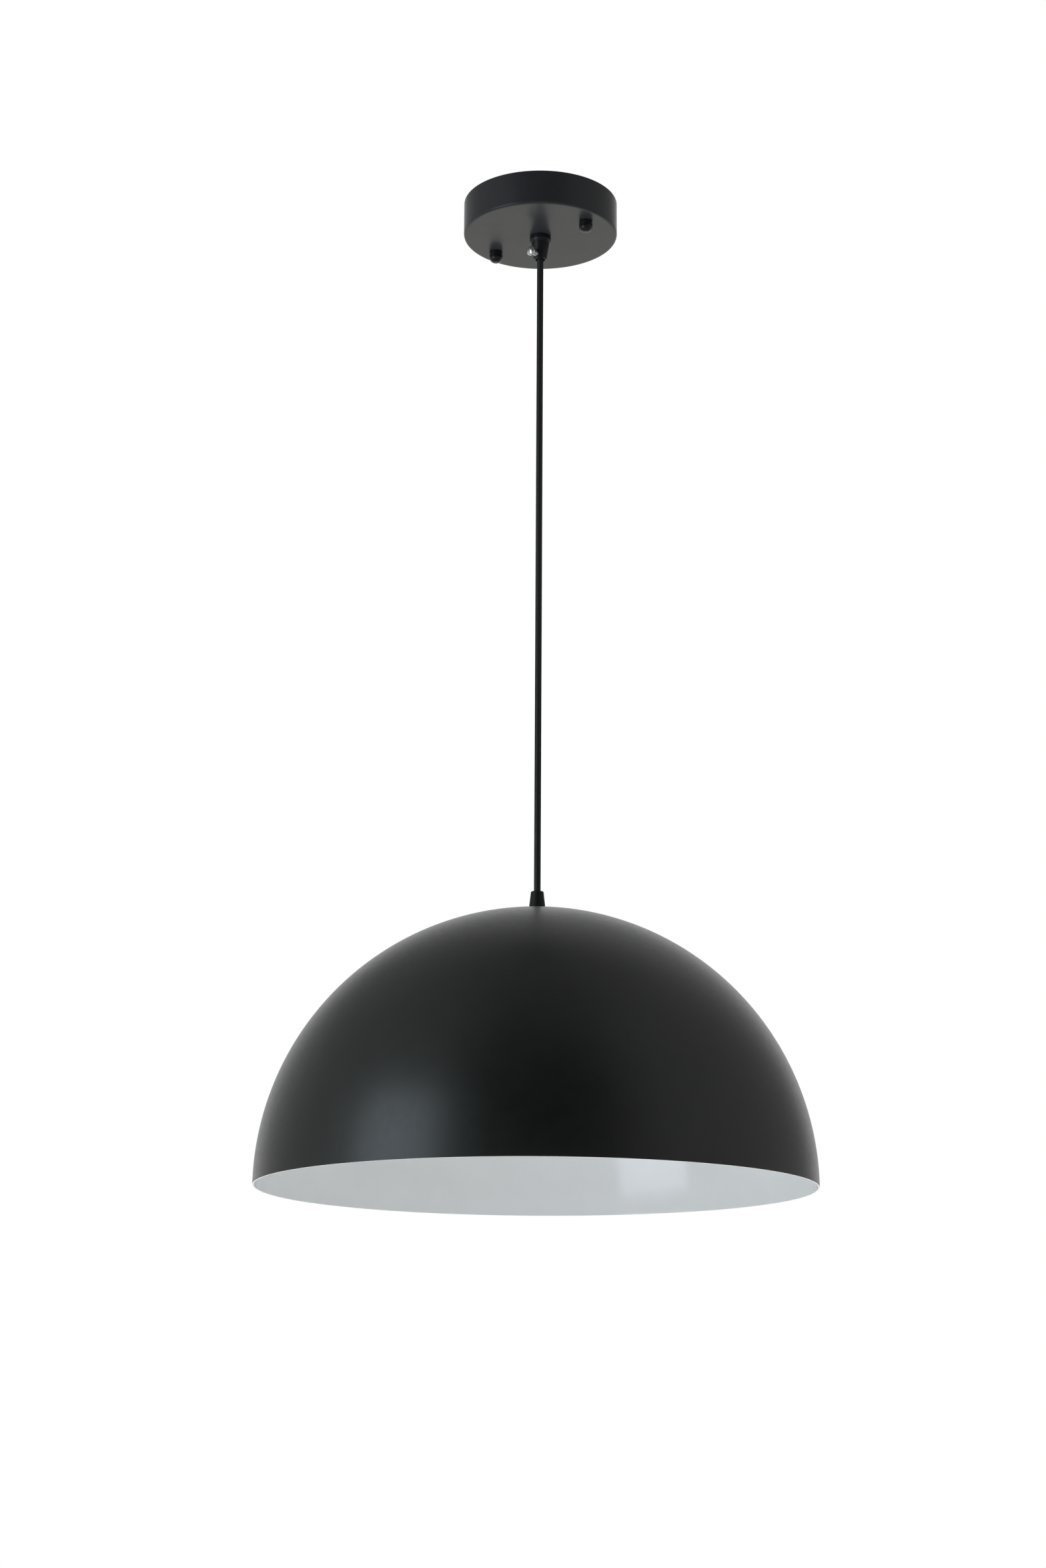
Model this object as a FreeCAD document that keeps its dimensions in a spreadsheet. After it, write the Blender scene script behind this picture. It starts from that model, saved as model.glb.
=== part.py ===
import FreeCAD, Part
import math
import os
import re

import Sketcher

# A dome pendant light. Frame: +Z up, millimetres. The origin is on the ceiling, at the middle
# of the mounting strap. The cap nuts lie on X and the cord's clamp screw points along -Y.

SIZES = {
    # canopy: a drawn steel cup, open against the ceiling
    "canopy_diameter": 120.0,
    "canopy_depth": 27.0,
    "canopy_wall": 1.0,
    "canopy_edge_radius": 2.0,
    # mounting strap under the ceiling, stepped down at both ends
    "strap_length": 102.0,
    "strap_width": 20.0,
    "strap_gauge": 1.5,
    "strap_step_start": 35.5,
    "strap_step_run": 4.5,
    "strap_step_drop": 5.0,
    "strap_bend_radius": 1.5,
    "strap_eye_diameter": 11.0,
    "slot_spacing": 54.0,
    "slot_length": 13.0,
    "slot_width": 4.8,
    "lug_width": 15.0,
    "lug_reach": 31.0,
    # studs that carry the canopy
    "stud_spacing": 90.0,
    "stud_diameter": 4.0,
    "stud_into_nut": 6.1,
    "stud_head_diameter": 7.4,
    "stud_head_depth": 2.4,
    "jam_nut_flats": 7.0,
    "jam_nut_depth": 2.2,
    # domed cap nuts and the washers behind them
    "cap_nut_diameter": 10.4,
    "cap_nut_length": 8.3,
    "cap_nut_bore_depth": 6.6,
    "cap_nut_ring_depth": 1.9,
    "cap_nut_shoulder_depth": 5.3,
    "cap_nut_dome_radius": 4.2,
    "cap_nut_tip_diameter": 3.2,
    "cap_nut_groove": 0.3,
    "cap_washer_diameter": 9.0,
    "cap_washer_gauge": 0.5,
    # cord grip under the canopy
    "collar_diameter": 16.5,
    "collar_wall_height": 3.3,
    "collar_depth": 5.5,
    "collar_foot_diameter": 14.6,
    "cone_top_diameter": 14.0,
    "cone_mouth_diameter": 9.9,
    "cone_depth": 14.1,
    "grip_mouth_bore": 7.1,
    "grip_mouth_bore_depth": 12.0,
    "stem_diameter": 10.0,
    "stem_bore": 6.0,
    "stem_height": 11.0,
    "grip_washer_diameter": 18.0,
    "grip_washer_gauge": 0.8,
    "locknut_flats": 14.0,
    "locknut_depth": 3.5,
    # clamp screw that holds the cord in the grip
    "clamp_screw_diameter": 4.0,
    "clamp_above_mouth": 3.7,
    "clamp_head_diameter": 7.8,
    "clamp_head_depth": 2.6,
    "clamp_head_reach": 11.2,
    "clamp_pad_diameter": 3.4,
    "clamp_pad_gauge": 1.0,
    # cord and its three leads
    "cord_diameter": 5.0,
    "lead_diameter": 1.8,
    "lead_circle": 2.4,
    "jacket_above_stem": 1.0,
    "neck_length": 10.0,
    "core_ball_diameter": 2.4,
    "bend_room": 1.5,
    # terminal block under the strap's lug
    "block_length": 26.0,
    "block_width": 16.0,
    "block_depth": 12.0,
    "block_pitch": 8.5,
    "insert_diameter": 4.6,
    "insert_bore": 3.0,
    "insert_length": 13.0,
    "block_screw_diameter": 2.6,
    "block_screw_length": 4.0,
    "fixing_head_depth": 1.6,
    "lead_turn": 4.0,
    # earth screw on the strap
    "earth_screw_offset": 13.5,
    "earth_head_diameter": 7.0,
    "earth_head_depth": 2.2,
    "ring_diameter": 7.6,
    "ring_gauge": 0.8,
    "barrel_diameter": 2.8,
    "barrel_length": 3.5,
    # shade: a spun hemisphere
    "drop": 770.0,
    "shade_diameter": 406.0,
    "shade_wall": 1.0,
    "shade_flat_diameter": 28.0,
    # tapered cord grip on the shade
    "shade_grip_top_diameter": 9.5,
    "shade_grip_base_diameter": 12.4,
    "shade_grip_height": 15.0,
    "shade_grip_socket": 5.0,
    "shade_grip_crown": 0.8,
    "shade_grip_foot": 0.8,
    "nipple_bore": 6.8,
    "nipple_length": 19.5,
    "shade_washer_diameter": 24.0,
    "shade_washer_gauge": 1.2,
    # lampholder
    "holder_boss_diameter": 16.0,
    "holder_boss_height": 7.0,
    "holder_flare_height": 12.0,
    "holder_skirt_height": 8.0,
    "holder_cap_diameter": 41.0,
    "holder_cap_wall": 2.0,
    "holder_body_diameter": 39.0,
    "holder_body_length": 36.0,
    "holder_body_wall": 2.2,
    "holder_rib": 1.0,
    "core_depth": 8.0,
    "shell_bore": 26.4,
    "shell_wall": 0.5,
    "shell_length": 24.0,
    "shell_neck_depth": 4.0,
    "shell_neck_step": 0.6,
    "shell_flange": 2.2,
    "tongue_width": 5.0,
    "tongue_gauge": 0.4,
    "tongue_root": 8.0,
    "tongue_length": 11.0,
    "tongue_dip": 2.4,
    "tongue_pad": 4.0,
    "rivet_offset": 2.4,
    "rivet_diameter": 2.0,
    "rivet_head_depth": 0.6,
    "terminal_circle": 18.0,
    "terminal_width": 5.0,
    "terminal_height": 5.0,
    "terminal_bore": 2.4,
    "terminal_screw_diameter": 2.6,
    "terminal_screw_head": 1.0,
    # clearances
    "running_gap": 0.05,
    "loose_gap": 0.2,
}

doc = FreeCAD.newDocument("DomePendant")
sheet = doc.addObject("Spreadsheet::Sheet", "Sizes")
for row, (alias, number) in enumerate(SIZES.items(), start=1):
    sheet.set(f"A{row}", alias)
    sheet.set(f"B{row}", str(number))
    sheet.setAlias(f"B{row}", alias)
doc.recompute()

ALIAS = re.compile(r"\b(" + "|".join(sorted(SIZES, key=len, reverse=True)) + r")\b")
NODES = []
TOUCH = 1e-6  # two lengths or volumes closer than this are the same
ARC_SHARE = 0.45  # how much of the shorter run an arc of a lead's path takes up
PIPE_ERROR = 0.01  # how far a swept lead's volume may be from its section times its length
SPREAD_START = 0.3  # how far down its run a lead in the lampholder starts to spread
SPREAD_END = 0.75  # how far down that run it is over its terminal


def tied(text):
    """The expression with each size's name pointed at its cell in the sheet."""
    return ALIAS.sub(r"Sizes.\1", str(text))


def num(text):
    """The value that an expression has now, in millimetres or degrees."""
    return float(sheet.evalExpression(tied(text)))


def bind(item, **sizes):
    """Ties properties of an object to expressions in the sheet's sizes."""
    for name, text in sizes.items():
        item.setExpression(name.replace("__", "."), tied(text))


def keep(item, label):
    """Names a finished sub-part."""
    item.Label = label
    NODES.append(item)
    return item


def place(item, x="0", y="0", z="0"):
    """Ties an object's place to expressions."""
    bind(item, Placement__Base__x=x, Placement__Base__y=y, Placement__Base__z=z)
    return item


# Heights and radii that several pieces share
CANOPY_UNDER = "(-canopy_depth)"
CANOPY_FLOOR = "(canopy_wall - canopy_depth)"
COLLAR_UNDER = f"({CANOPY_UNDER} - collar_depth)"
MOUTH = f"({COLLAR_UNDER} - cone_depth)"
STEM_TOP = f"({CANOPY_UNDER} + stem_height)"
JACKET_TOP = f"({STEM_TOP} + jacket_above_stem)"
NECK_END = f"({MOUTH} - neck_length)"
CLAMP_Z = f"({MOUTH} + clamp_above_mouth)"
STRAP_END_TOP = "(-strap_step_drop)"
STRAP_END_UNDER = "(-strap_step_drop - strap_gauge)"
STRAP_TILT = "atan(strap_step_drop / strap_step_run)"
BEND_SHARE = f"tan({STRAP_TILT} / 2)"
STUD_X = "(stud_spacing / 2)"
CAP_NUT_TOP = f"({CANOPY_UNDER} - cap_washer_gauge)"
STUD_TIP = f"({CAP_NUT_TOP} - stud_into_nut)"
RIM = "(-drop)"
SHADE_RADIUS = "(shade_diameter / 2)"
SHADE_TOP = f"({RIM} + sqrt({SHADE_RADIUS}^2 - (shade_flat_diameter / 2)^2))"
SHADE_CEILING = f"({SHADE_TOP} - shade_wall)"
SHADE_GRIP_TOP = f"({SHADE_TOP} + shade_grip_height)"
WASHER_UNDER = f"({SHADE_CEILING} - shade_washer_gauge)"
HOLDER_TOP = f"({WASHER_UNDER} - locknut_depth)"
NIPPLE_TOP = f"({SHADE_TOP} + shade_grip_socket)"
NIPPLE_END = f"({NIPPLE_TOP} - nipple_length)"
BOSS_UNDER = f"({HOLDER_TOP} - holder_boss_height)"
FLARE_UNDER = f"({BOSS_UNDER} - holder_flare_height)"
CAP_UNDER = f"({FLARE_UNDER} - holder_skirt_height)"
HOLDER_MOUTH = f"({CAP_UNDER} - holder_body_length)"
CORE_UNDER = f"({CAP_UNDER} - core_depth)"
SHELL_NECK_UNDER = f"({CORE_UNDER} - shell_neck_depth)"
SHELL_THREAD_TOP = f"({SHELL_NECK_UNDER} - shell_neck_step)"
CORD_RADIUS = "(cord_diameter / 2)"
STRAP_UNDER = "(-strap_gauge)"
BLOCK_MIDDLE = "((strap_width / 2 + lug_reach) / 2)"
BLOCK_NEAR = f"({BLOCK_MIDDLE} - block_width / 2)"
BLOCK_UNDER = f"({STRAP_UNDER} - block_depth)"
FIXING_X = "(block_pitch / 2)"
POLE_Z = f"({STRAP_UNDER} - block_depth / 2)"
INSERT_NEAR = f"({BLOCK_MIDDLE} - insert_length / 2)"
RING_UNDER = f"({STRAP_UNDER} - ring_gauge)"
BARREL_Z = f"({STRAP_UNDER} - barrel_diameter / 2)"
STEM_HOLE = "(stem_diameter / 2 + loose_gap)"
THREAD_HOLE = "(stem_diameter / 2 + running_gap)"


def origin_plane(body, role):
    """One of the body's own three planes."""
    return next(item for item in body.Origin.OriginFeatures if item.Role == role)


def outline(body, name, role, corners, arcs=None):
    """A closed sketch on one of the body's planes.

    corners are pairs of expressions. arcs gives, for the number of a side, the arc's radius and
    whether it bulges to the left (1) or to the right (-1) on the way to the next corner.
    """
    arcs = arcs or {}
    sketch = body.newObject("Sketcher::SketchObject", name)
    sketch.AttachmentSupport = [(origin_plane(body, role), "")]
    sketch.MapMode = "FlatFace"
    spots = [FreeCAD.Vector(num(x), num(y), 0) for x, y in corners]
    count = len(spots)
    turned = {}
    for side, start in enumerate(spots):
        end = spots[(side + 1) % count]
        if side not in arcs:
            sketch.addGeometry(Part.LineSegment(start, end), False)
            continue
        radius, bulge = num(arcs[side][0]), arcs[side][1]
        chord = end - start
        left = FreeCAD.Vector(-chord.y, chord.x, 0).normalize()
        sagitta = radius - math.sqrt(max(radius**2 - chord.Length**2 / 4, 0))
        middle = (start + end) / 2 + left * bulge * sagitta
        arc = Part.Arc(start, middle, end)
        sketch.addGeometry(arc, False)
        turned[side] = bulge > 0
    for side in range(count):
        after = (side + 1) % count
        finish = 1 if turned.get(side) else 2
        begin = 2 if turned.get(after) else 1
        sketch.addConstraint(Sketcher.Constraint("Coincident", side, finish, after, begin))
    for side, (x, y) in enumerate(corners):
        begin = 2 if turned.get(side) else 1
        fix_point(sketch, side, begin, "DistanceX", x, -2)
        fix_point(sketch, side, begin, "DistanceY", y, -1)
    for side, (radius, _) in arcs.items():
        chord = spots[(side + 1) % count] - spots[side]
        if abs(chord.Length - 2 * num(radius)) < TOUCH:
            fix_half_circle(sketch, side, chord, corners[side])
            continue
        number = sketch.addConstraint(Sketcher.Constraint("Radius", side, num(radius)))
        sketch.setExpression(f"Constraints[{number}]", tied(radius))
    return sketch


def fix_half_circle(sketch, side, chord, corner):
    """Puts the centre of a half circle level with its ends, along an upright or a level chord."""
    if abs(chord.x) < abs(chord.y):
        fix_point(sketch, side, 3, "DistanceX", corner[0], -2)
    else:
        fix_point(sketch, side, 3, "DistanceY", corner[1], -1)


def fix_point(sketch, side, end, kind, text, axis):
    """Ties one coordinate of a sketch point to an expression, or puts the point on an axis."""
    if text == "0":
        sketch.addConstraint(Sketcher.Constraint("PointOnObject", side, end, axis))
        return
    number = sketch.addConstraint(Sketcher.Constraint(kind, -1, 1, side, end, num(text)))
    sketch.setExpression(f"Constraints[{number}]", tied(text))


def spin(body, sketch, name):
    """Revolves a profile about Z."""
    turn = body.newObject("PartDesign::Revolution", name)
    turn.Profile = sketch
    turn.ReferenceAxis = (sketch, ["V_Axis"])
    turn.Angle = 360
    return turn


def turned_piece(label, corners, arcs=None):
    """A sub-part turned on a lathe, from its half profile of (radius, height) corners."""
    body = doc.addObject("PartDesign::Body", label)
    sketch = outline(body, f"{label}_profile", "XZ_Plane", corners, arcs)
    spin(body, sketch, f"{label}_turned")
    return keep(body, label)


def tube(label, outer, inner, top, under):
    """A plain round tube or washer from its two diameters and its two heights."""
    corners = [(inner, under), (outer, under), (outer, top), (inner, top)]
    return turned_piece(label, corners)


def disc_sketch(body, name, role, spots):
    """A sketch of circles, each a centre and a radius, all expressions."""
    sketch = body.newObject("Sketcher::SketchObject", name)
    sketch.AttachmentSupport = [(origin_plane(body, role), "")]
    sketch.MapMode = "FlatFace"
    for x, y, radius in spots:
        centre = FreeCAD.Vector(num(x), num(y), 0)
        side = sketch.addGeometry(Part.Circle(centre, FreeCAD.Vector(0, 0, 1), num(radius)), False)
        fix_point(sketch, side, 3, "DistanceX", x, -2)
        fix_point(sketch, side, 3, "DistanceY", y, -1)
        number = sketch.addConstraint(Sketcher.Constraint("Radius", side, num(radius)))
        sketch.setExpression(f"Constraints[{number}]", tied(radius))
    return sketch


def slot_corners(centre, length, width):
    """Corners and rounded ends of a slot that runs along the first sketch axis."""
    near = f"({centre} - ({length} - {width}) / 2)"
    far = f"({centre} + ({length} - {width}) / 2)"
    half = f"({width} / 2)"
    corners = [(near, f"-{half}"), (far, f"-{half}"), (far, half), (near, half)]
    return corners, {1: (half, -1), 3: (half, -1)}


def cut_sketch(body, sketch, name, depth=None):
    """Cuts a sketch through the body both ways, or to a depth one way, and checks the cut."""
    doc.recompute()
    before = body.Shape.Volume
    pocket = body.newObject("PartDesign::Pocket", name)
    pocket.Profile = sketch
    if depth is None:
        pocket.Type = "ThroughAll"
        pocket.Midplane = True
    else:
        pocket.Type = "Length"
        pocket.Reversed = True
        bind(pocket, Length=depth)
    doc.recompute()
    if not body.Shape.Volume < before - TOUCH:
        raise RuntimeError(f"{name} cuts nothing")
    return pocket


def pad_about(body, sketch, name, thickness):
    """A pad that grows equally to both sides of its sketch."""
    pad = body.newObject("PartDesign::Pad", name)
    pad.Profile = sketch
    pad.SideType = "Symmetric"
    bind(pad, Length=thickness)
    return pad


def pair_about_z(body, feature, name):
    """Repeats a feature half a turn round Z."""
    pattern = body.newObject("PartDesign::PolarPattern", name)
    pattern.Originals = [feature]
    pattern.Axis = (origin_axis(body, "Z_Axis"), [""])
    pattern.Angle = 360
    pattern.Occurrences = 2
    body.Tip = pattern
    return pattern


def origin_axis(body, role):
    """One of the body's own three axes."""
    return next(item for item in body.Origin.OriginFeatures if item.Role == role)


def cylinder(name, radius, height, x="0", y="0", z="0"):
    """An upright cylinder tied to expressions."""
    item = doc.addObject("Part::Cylinder", name)
    bind(item, Radius=radius, Height=height)
    return place(item, x, y, z)


def hex_nut(name, flats, depth, bore, x="0", y="0", z="0"):
    """A hexagon nut with a plain bore, its lower face at z."""
    prism = doc.addObject("Part::Prism", f"{name}_hexagon")
    prism.Polygon = 6
    bind(prism, Circumradius=f"{flats} / sqrt(3)", Height=depth)
    place(prism, x, y, z)
    drill = cylinder(f"{name}_drill", bore, f"{depth} + 2 * loose_gap", x, y, f"{z} - loose_gap")
    nut = doc.addObject("Part::Cut", name)
    nut.Base = prism
    nut.Tool = drill
    return nut


def group(label, items):
    """Several separate solids kept as one sub-part."""
    bundle = doc.addObject("Part::Compound", label)
    bundle.Links = items
    return keep(bundle, label)


def fused(name, items):
    """Several touching solids joined into one."""
    joined = doc.addObject("Part::MultiFuse", name)
    joined.Shapes = items
    return joined


# ---------------------------------------------------------------- canopy and its mounting


def make_canopy():
    """The drawn cup: rounded lower edge, a hole for the grip's stem and two for the studs."""
    outer = "(canopy_diameter / 2)"
    inner = f"({outer} - canopy_wall)"
    bend = "canopy_edge_radius"
    inner_bend = f"({bend} - canopy_wall)"
    body = doc.addObject("PartDesign::Body", "canopy")
    corners = [
        (STEM_HOLE, CANOPY_UNDER),
        (f"{outer} - {bend}", CANOPY_UNDER),
        (outer, f"{CANOPY_UNDER} + {bend}"),
        (outer, "0"),
        (inner, "0"),
        (inner, f"{CANOPY_FLOOR} + {inner_bend}"),
        (f"{inner} - {inner_bend}", CANOPY_FLOOR),
        (STEM_HOLE, CANOPY_FLOOR),
    ]
    arcs = {1: (bend, -1), 5: (inner_bend, 1)}
    spin(body, outline(body, "canopy_profile", "XZ_Plane", corners, arcs), "canopy_drawn")
    hole = [(STUD_X, "0", "stud_diameter / 2 + loose_gap")]
    pocket = cut_sketch(body, disc_sketch(body, "stud_hole", "XY_Plane", hole), "stud_hole_cut")
    pair_about_z(body, pocket, "stud_holes")
    keep(body, "canopy")


def step_side(level, low_level, shift, first, second):
    """One face of the strap's step on +X: two bends, of the given radii, with a slope between."""
    along, down = f"cos({STRAP_TILT})", f"sin({STRAP_TILT})"
    near = f"(strap_step_start - {shift})"
    far = f"(strap_step_start + strap_step_run - {shift})"
    entry, leave = f"{first} * {BEND_SHARE}", f"{second} * {BEND_SHARE}"
    return [
        (f"({near} - {entry})", level),
        (f"({near} + {entry} * {along})", f"({level} - {entry} * {down})"),
        (f"({far} - {leave} * {along})", f"({low_level} + {leave} * {down})"),
        (f"({far} + {leave})", low_level),
    ]


def mirrored(corners):
    """The same corners on the other side of the axis, in the opposite order."""
    return [(f"(-1 * {x})", z) for x, z in reversed(corners)]


def make_strap():
    """The strap: flat against the ceiling, stepped down to the studs, with a lug for the block."""
    body = doc.addObject("PartDesign::Body", "mounting_strap")
    tip = "(strap_length / 2)"
    gauge = "strap_gauge"
    tight, wide = "strap_bend_radius", f"(strap_bend_radius + {gauge})"
    upper = step_side("0", STRAP_END_TOP, "0", wide, tight)
    lower = step_side(STRAP_UNDER, STRAP_END_UNDER, f"{gauge} * {BEND_SHARE}", tight, wide)
    corners = [(f"-{tip}", STRAP_END_TOP)] + mirrored(upper) + upper + [(tip, STRAP_END_TOP)]
    corners += [(tip, STRAP_END_UNDER)] + lower[::-1] + mirrored(lower)[::-1]
    corners.append((f"-{tip}", STRAP_END_UNDER))
    bends = {1: (tight, -1), 3: (wide, 1), 5: (wide, 1), 7: (tight, -1)}
    bends.update({11: (wide, 1), 13: (tight, -1), 15: (tight, -1), 17: (wide, 1)})
    side = outline(body, "strap_side", "XZ_Plane", corners, bends)
    pad_about(body, side, "strap_bent", "strap_width")
    half = "lug_width / 2"
    lug = [(f"-{half}", "0"), (half, "0"), (half, "lug_reach"), (f"-{half}", "lug_reach")]
    pad = body.newObject("PartDesign::Pad", "lug_pad")
    pad.Profile = outline(body, "lug_outline", "XY_Plane", lug)
    pad.Reversed = True
    bind(pad, Length=gauge)
    corners, ends = slot_corners("slot_spacing / 2", "slot_length", "slot_width")
    slot = cut_sketch(body, outline(body, "slot", "XY_Plane", corners, ends), "slot_cut")
    pair_about_z(body, slot, "slots")
    seat = [(STUD_X, "0", "stud_diameter / 2 + running_gap")]
    stud = disc_sketch(body, "stud_seat", "XY_Plane", seat)
    pair_about_z(body, cut_sketch(body, stud, "stud_seat_cut"), "stud_seats")
    single = [
        ("0", "0", "strap_eye_diameter / 2"),
        ("-earth_screw_offset", "0", "stud_diameter / 2 + running_gap"),
        (FIXING_X, BLOCK_MIDDLE, "block_screw_diameter / 2 + running_gap"),
    ]
    cut_sketch(body, disc_sketch(body, "eye_and_screws", "XY_Plane", single), "eye_and_screws_cut")
    keep(body, "mounting_strap")


def make_studs():
    """Two headed studs through the strap's ends, with jam nuts and, below the canopy, cap nuts."""
    studs, nuts = [], []
    for side, name in ((-1, "left"), (1, "right")):
        x = f"{side} * {STUD_X}"
        length = f"{STRAP_END_TOP} - {STUD_TIP}"
        shank = cylinder(f"{name}_shank", "stud_diameter / 2", length, x, "0", STUD_TIP)
        head = cylinder(f"{name}_head", "stud_head_diameter / 2", "stud_head_depth", x,
                        z=STRAP_END_TOP)
        studs.append(fused(f"stud_{name}", [shank, head]))
        under = f"{STRAP_END_UNDER} - jam_nut_depth"
        bore = "stud_diameter / 2 + running_gap"
        nuts.append(
            hex_nut(f"jam_nut_{name}", "jam_nut_flats", "jam_nut_depth", bore, x, z=under)
        )
    group("canopy_studs", studs)
    group("stud_jam_nuts", nuts)
    for side, name in ((-1, "left"), (1, "right")):
        make_cap_nut(f"{side} * {STUD_X}", name)


def make_cap_nut(x, name):
    """A domed cap nut with a turned ring, a shoulder and a flat tip, and its washer."""
    radius, groove = "(cap_nut_diameter / 2)", "cap_nut_groove"
    bore = "(stud_diameter / 2 + running_gap)"
    washer = tube(
        f"cap_washer_{name}", "cap_washer_diameter / 2", bore, CANOPY_UNDER, CAP_NUT_TOP
    )
    place(washer, x)
    ring = f"({CAP_NUT_TOP} - cap_nut_ring_depth)"
    shoulder = f"({CAP_NUT_TOP} - cap_nut_shoulder_depth)"
    tip = f"({CAP_NUT_TOP} - cap_nut_length)"
    corners = [
        ("0", tip),
        ("cap_nut_tip_diameter / 2", tip),
        (f"{radius} - {groove}", shoulder),
        (radius, f"{shoulder} + {groove}"),
        (radius, f"{ring} - {groove}"),
        (f"{radius} - {groove}", ring),
        (radius, f"{ring} + {groove}"),
        (radius, f"{CAP_NUT_TOP} - {groove}"),
        (f"{radius} - {groove}", CAP_NUT_TOP),
        (bore, CAP_NUT_TOP),
        (bore, f"{CAP_NUT_TOP} - cap_nut_bore_depth"),
        ("0", f"{CAP_NUT_TOP} - cap_nut_bore_depth - {bore} / 2"),
    ]
    nut = turned_piece(f"cap_nut_{name}", corners, {1: ("cap_nut_dome_radius", -1)})
    place(nut, x)


# ---------------------------------------------------------------- cord grip, clamp and cord


def make_cord_grip():
    """Tapered collar, cone and threaded stem in one turning, cross-drilled for the screw."""
    body = doc.addObject("PartDesign::Body", "cord_grip")
    wide = "(grip_mouth_bore / 2)"
    waist = f"({MOUTH} + grip_mouth_bore_depth)"
    corners = [
        (wide, MOUTH),
        ("cone_mouth_diameter / 2 - loose_gap", MOUTH),
        ("cone_mouth_diameter / 2", f"{MOUTH} + loose_gap"),
        ("cone_top_diameter / 2", COLLAR_UNDER),
        ("collar_foot_diameter / 2", COLLAR_UNDER),
        ("collar_diameter / 2", f"{CANOPY_UNDER} - collar_wall_height"),
        ("collar_diameter / 2", CANOPY_UNDER),
        ("stem_diameter / 2", CANOPY_UNDER),
        ("stem_diameter / 2", STEM_TOP),
        ("stem_bore / 2", STEM_TOP),
        ("stem_bore / 2", waist),
        (wide, f"{waist} - ({wide} - stem_bore / 2)"),
    ]
    spin(body, outline(body, "grip_profile", "XZ_Plane", corners), "grip_turned")
    hole = [("0", CLAMP_Z, "clamp_screw_diameter / 2 + running_gap")]
    drill = disc_sketch(body, "clamp_hole", "XZ_Plane", hole)
    cut_sketch(body, drill, "clamp_hole_cut", "cone_top_diameter")
    keep(body, "cord_grip")
    floor_top = f"({CANOPY_FLOOR} + grip_washer_gauge)"
    tube("grip_washer", "grip_washer_diameter / 2", THREAD_HOLE, floor_top, CANOPY_FLOOR)
    nut = hex_nut("grip_nut", "locknut_flats", "locknut_depth", THREAD_HOLE, z=floor_top)
    keep(nut, "grip_locknut")


def make_clamp():
    """The clamp screw on -Y, driven by its cross recess, and the pad at its tip."""
    pad_face = f"(-{CORD_RADIUS} - running_gap)"
    pad_back = f"({pad_face} - clamp_pad_gauge)"
    pad = doc.addObject("Part::Cylinder", "pad_disc")
    bind(pad, Radius="clamp_pad_diameter / 2", Height="clamp_pad_gauge")
    lay_along_y(pad, pad_face, CLAMP_Z)
    keep(pad, "clamp_pad")
    body = doc.addObject("PartDesign::Body", "clamp_screw")
    shank = f"({pad_back} + clamp_head_reach)"
    head = "clamp_head_diameter / 2"
    corners = [
        ("0", "0"),
        ("clamp_screw_diameter / 2", "0"),
        ("clamp_screw_diameter / 2", shank),
        (head, shank),
        (head, f"{shank} + clamp_head_depth / 2"),
        ("0", f"{shank} + clamp_head_depth"),
    ]
    arcs = {4: ("clamp_head_diameter / 2 + clamp_head_depth", -1)}
    profile = outline(body, "clamp_screw_profile", "XZ_Plane", corners, arcs)
    spin(body, profile, "clamp_screw_turned")
    lay_along_y(body, pad_back, CLAMP_Z)
    keep(body, "clamp_screw")


def lay_along_y(item, y, z):
    """Turns a piece made along +Z to point along -Y and puts its foot at y, z."""
    item.Placement = FreeCAD.Placement(
        FreeCAD.Vector(0, num(y), num(z)), FreeCAD.Rotation(FreeCAD.Vector(1, 0, 0), 90)
    )
    bind(item, Placement__Base__y=y, Placement__Base__z=z)


def make_cord():
    """The cord: a fixed end in the grip, a ball where it bends, a neck, and the hanging run."""
    ball = CORD_RADIUS
    socket = f"({ball} + running_gap)"
    trim = "bend_room"
    rim = f"sqrt({socket}^2 - {trim}^2)"
    upper = [
        ("0", f"{MOUTH} + {socket}"),
        (rim, f"{MOUTH} + {trim}"),
        (ball, f"{MOUTH} + {trim}"),
        (ball, JACKET_TOP),
        ("0", JACKET_TOP),
    ]
    turned_piece("cord_upper_end", upper, {0: (socket, 1)})
    core = "(core_ball_diameter / 2)"
    keep(place(sphere("cord_core_ball", core), z=MOUTH), "cord_core_joint")
    pocket = f"({core} + running_gap)"
    neck = [
        (pocket, f"{MOUTH} + sqrt({ball}^2 - {pocket}^2)"),
        (pocket, MOUTH),
        ("0", f"{MOUTH} - {pocket}"),
        ("0", NECK_END),
        (ball, NECK_END),
        (ball, MOUTH),
    ]
    turned_piece("cord_neck", neck, {1: (pocket, 1), 5: (ball, -1)})
    run = [("0", SHADE_GRIP_TOP), (ball, SHADE_GRIP_TOP), (ball, NECK_END), ("0", NECK_END)]
    turned_piece("cord", run)
    end = [("0", NIPPLE_END), (ball, NIPPLE_END), (ball, SHADE_GRIP_TOP), ("0", SHADE_GRIP_TOP)]
    turned_piece("cord_lower_end", end)


def sphere(name, radius):
    """A ball tied to an expression."""
    item = doc.addObject("Part::Sphere", name)
    bind(item, Radius=radius)
    return item


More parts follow.
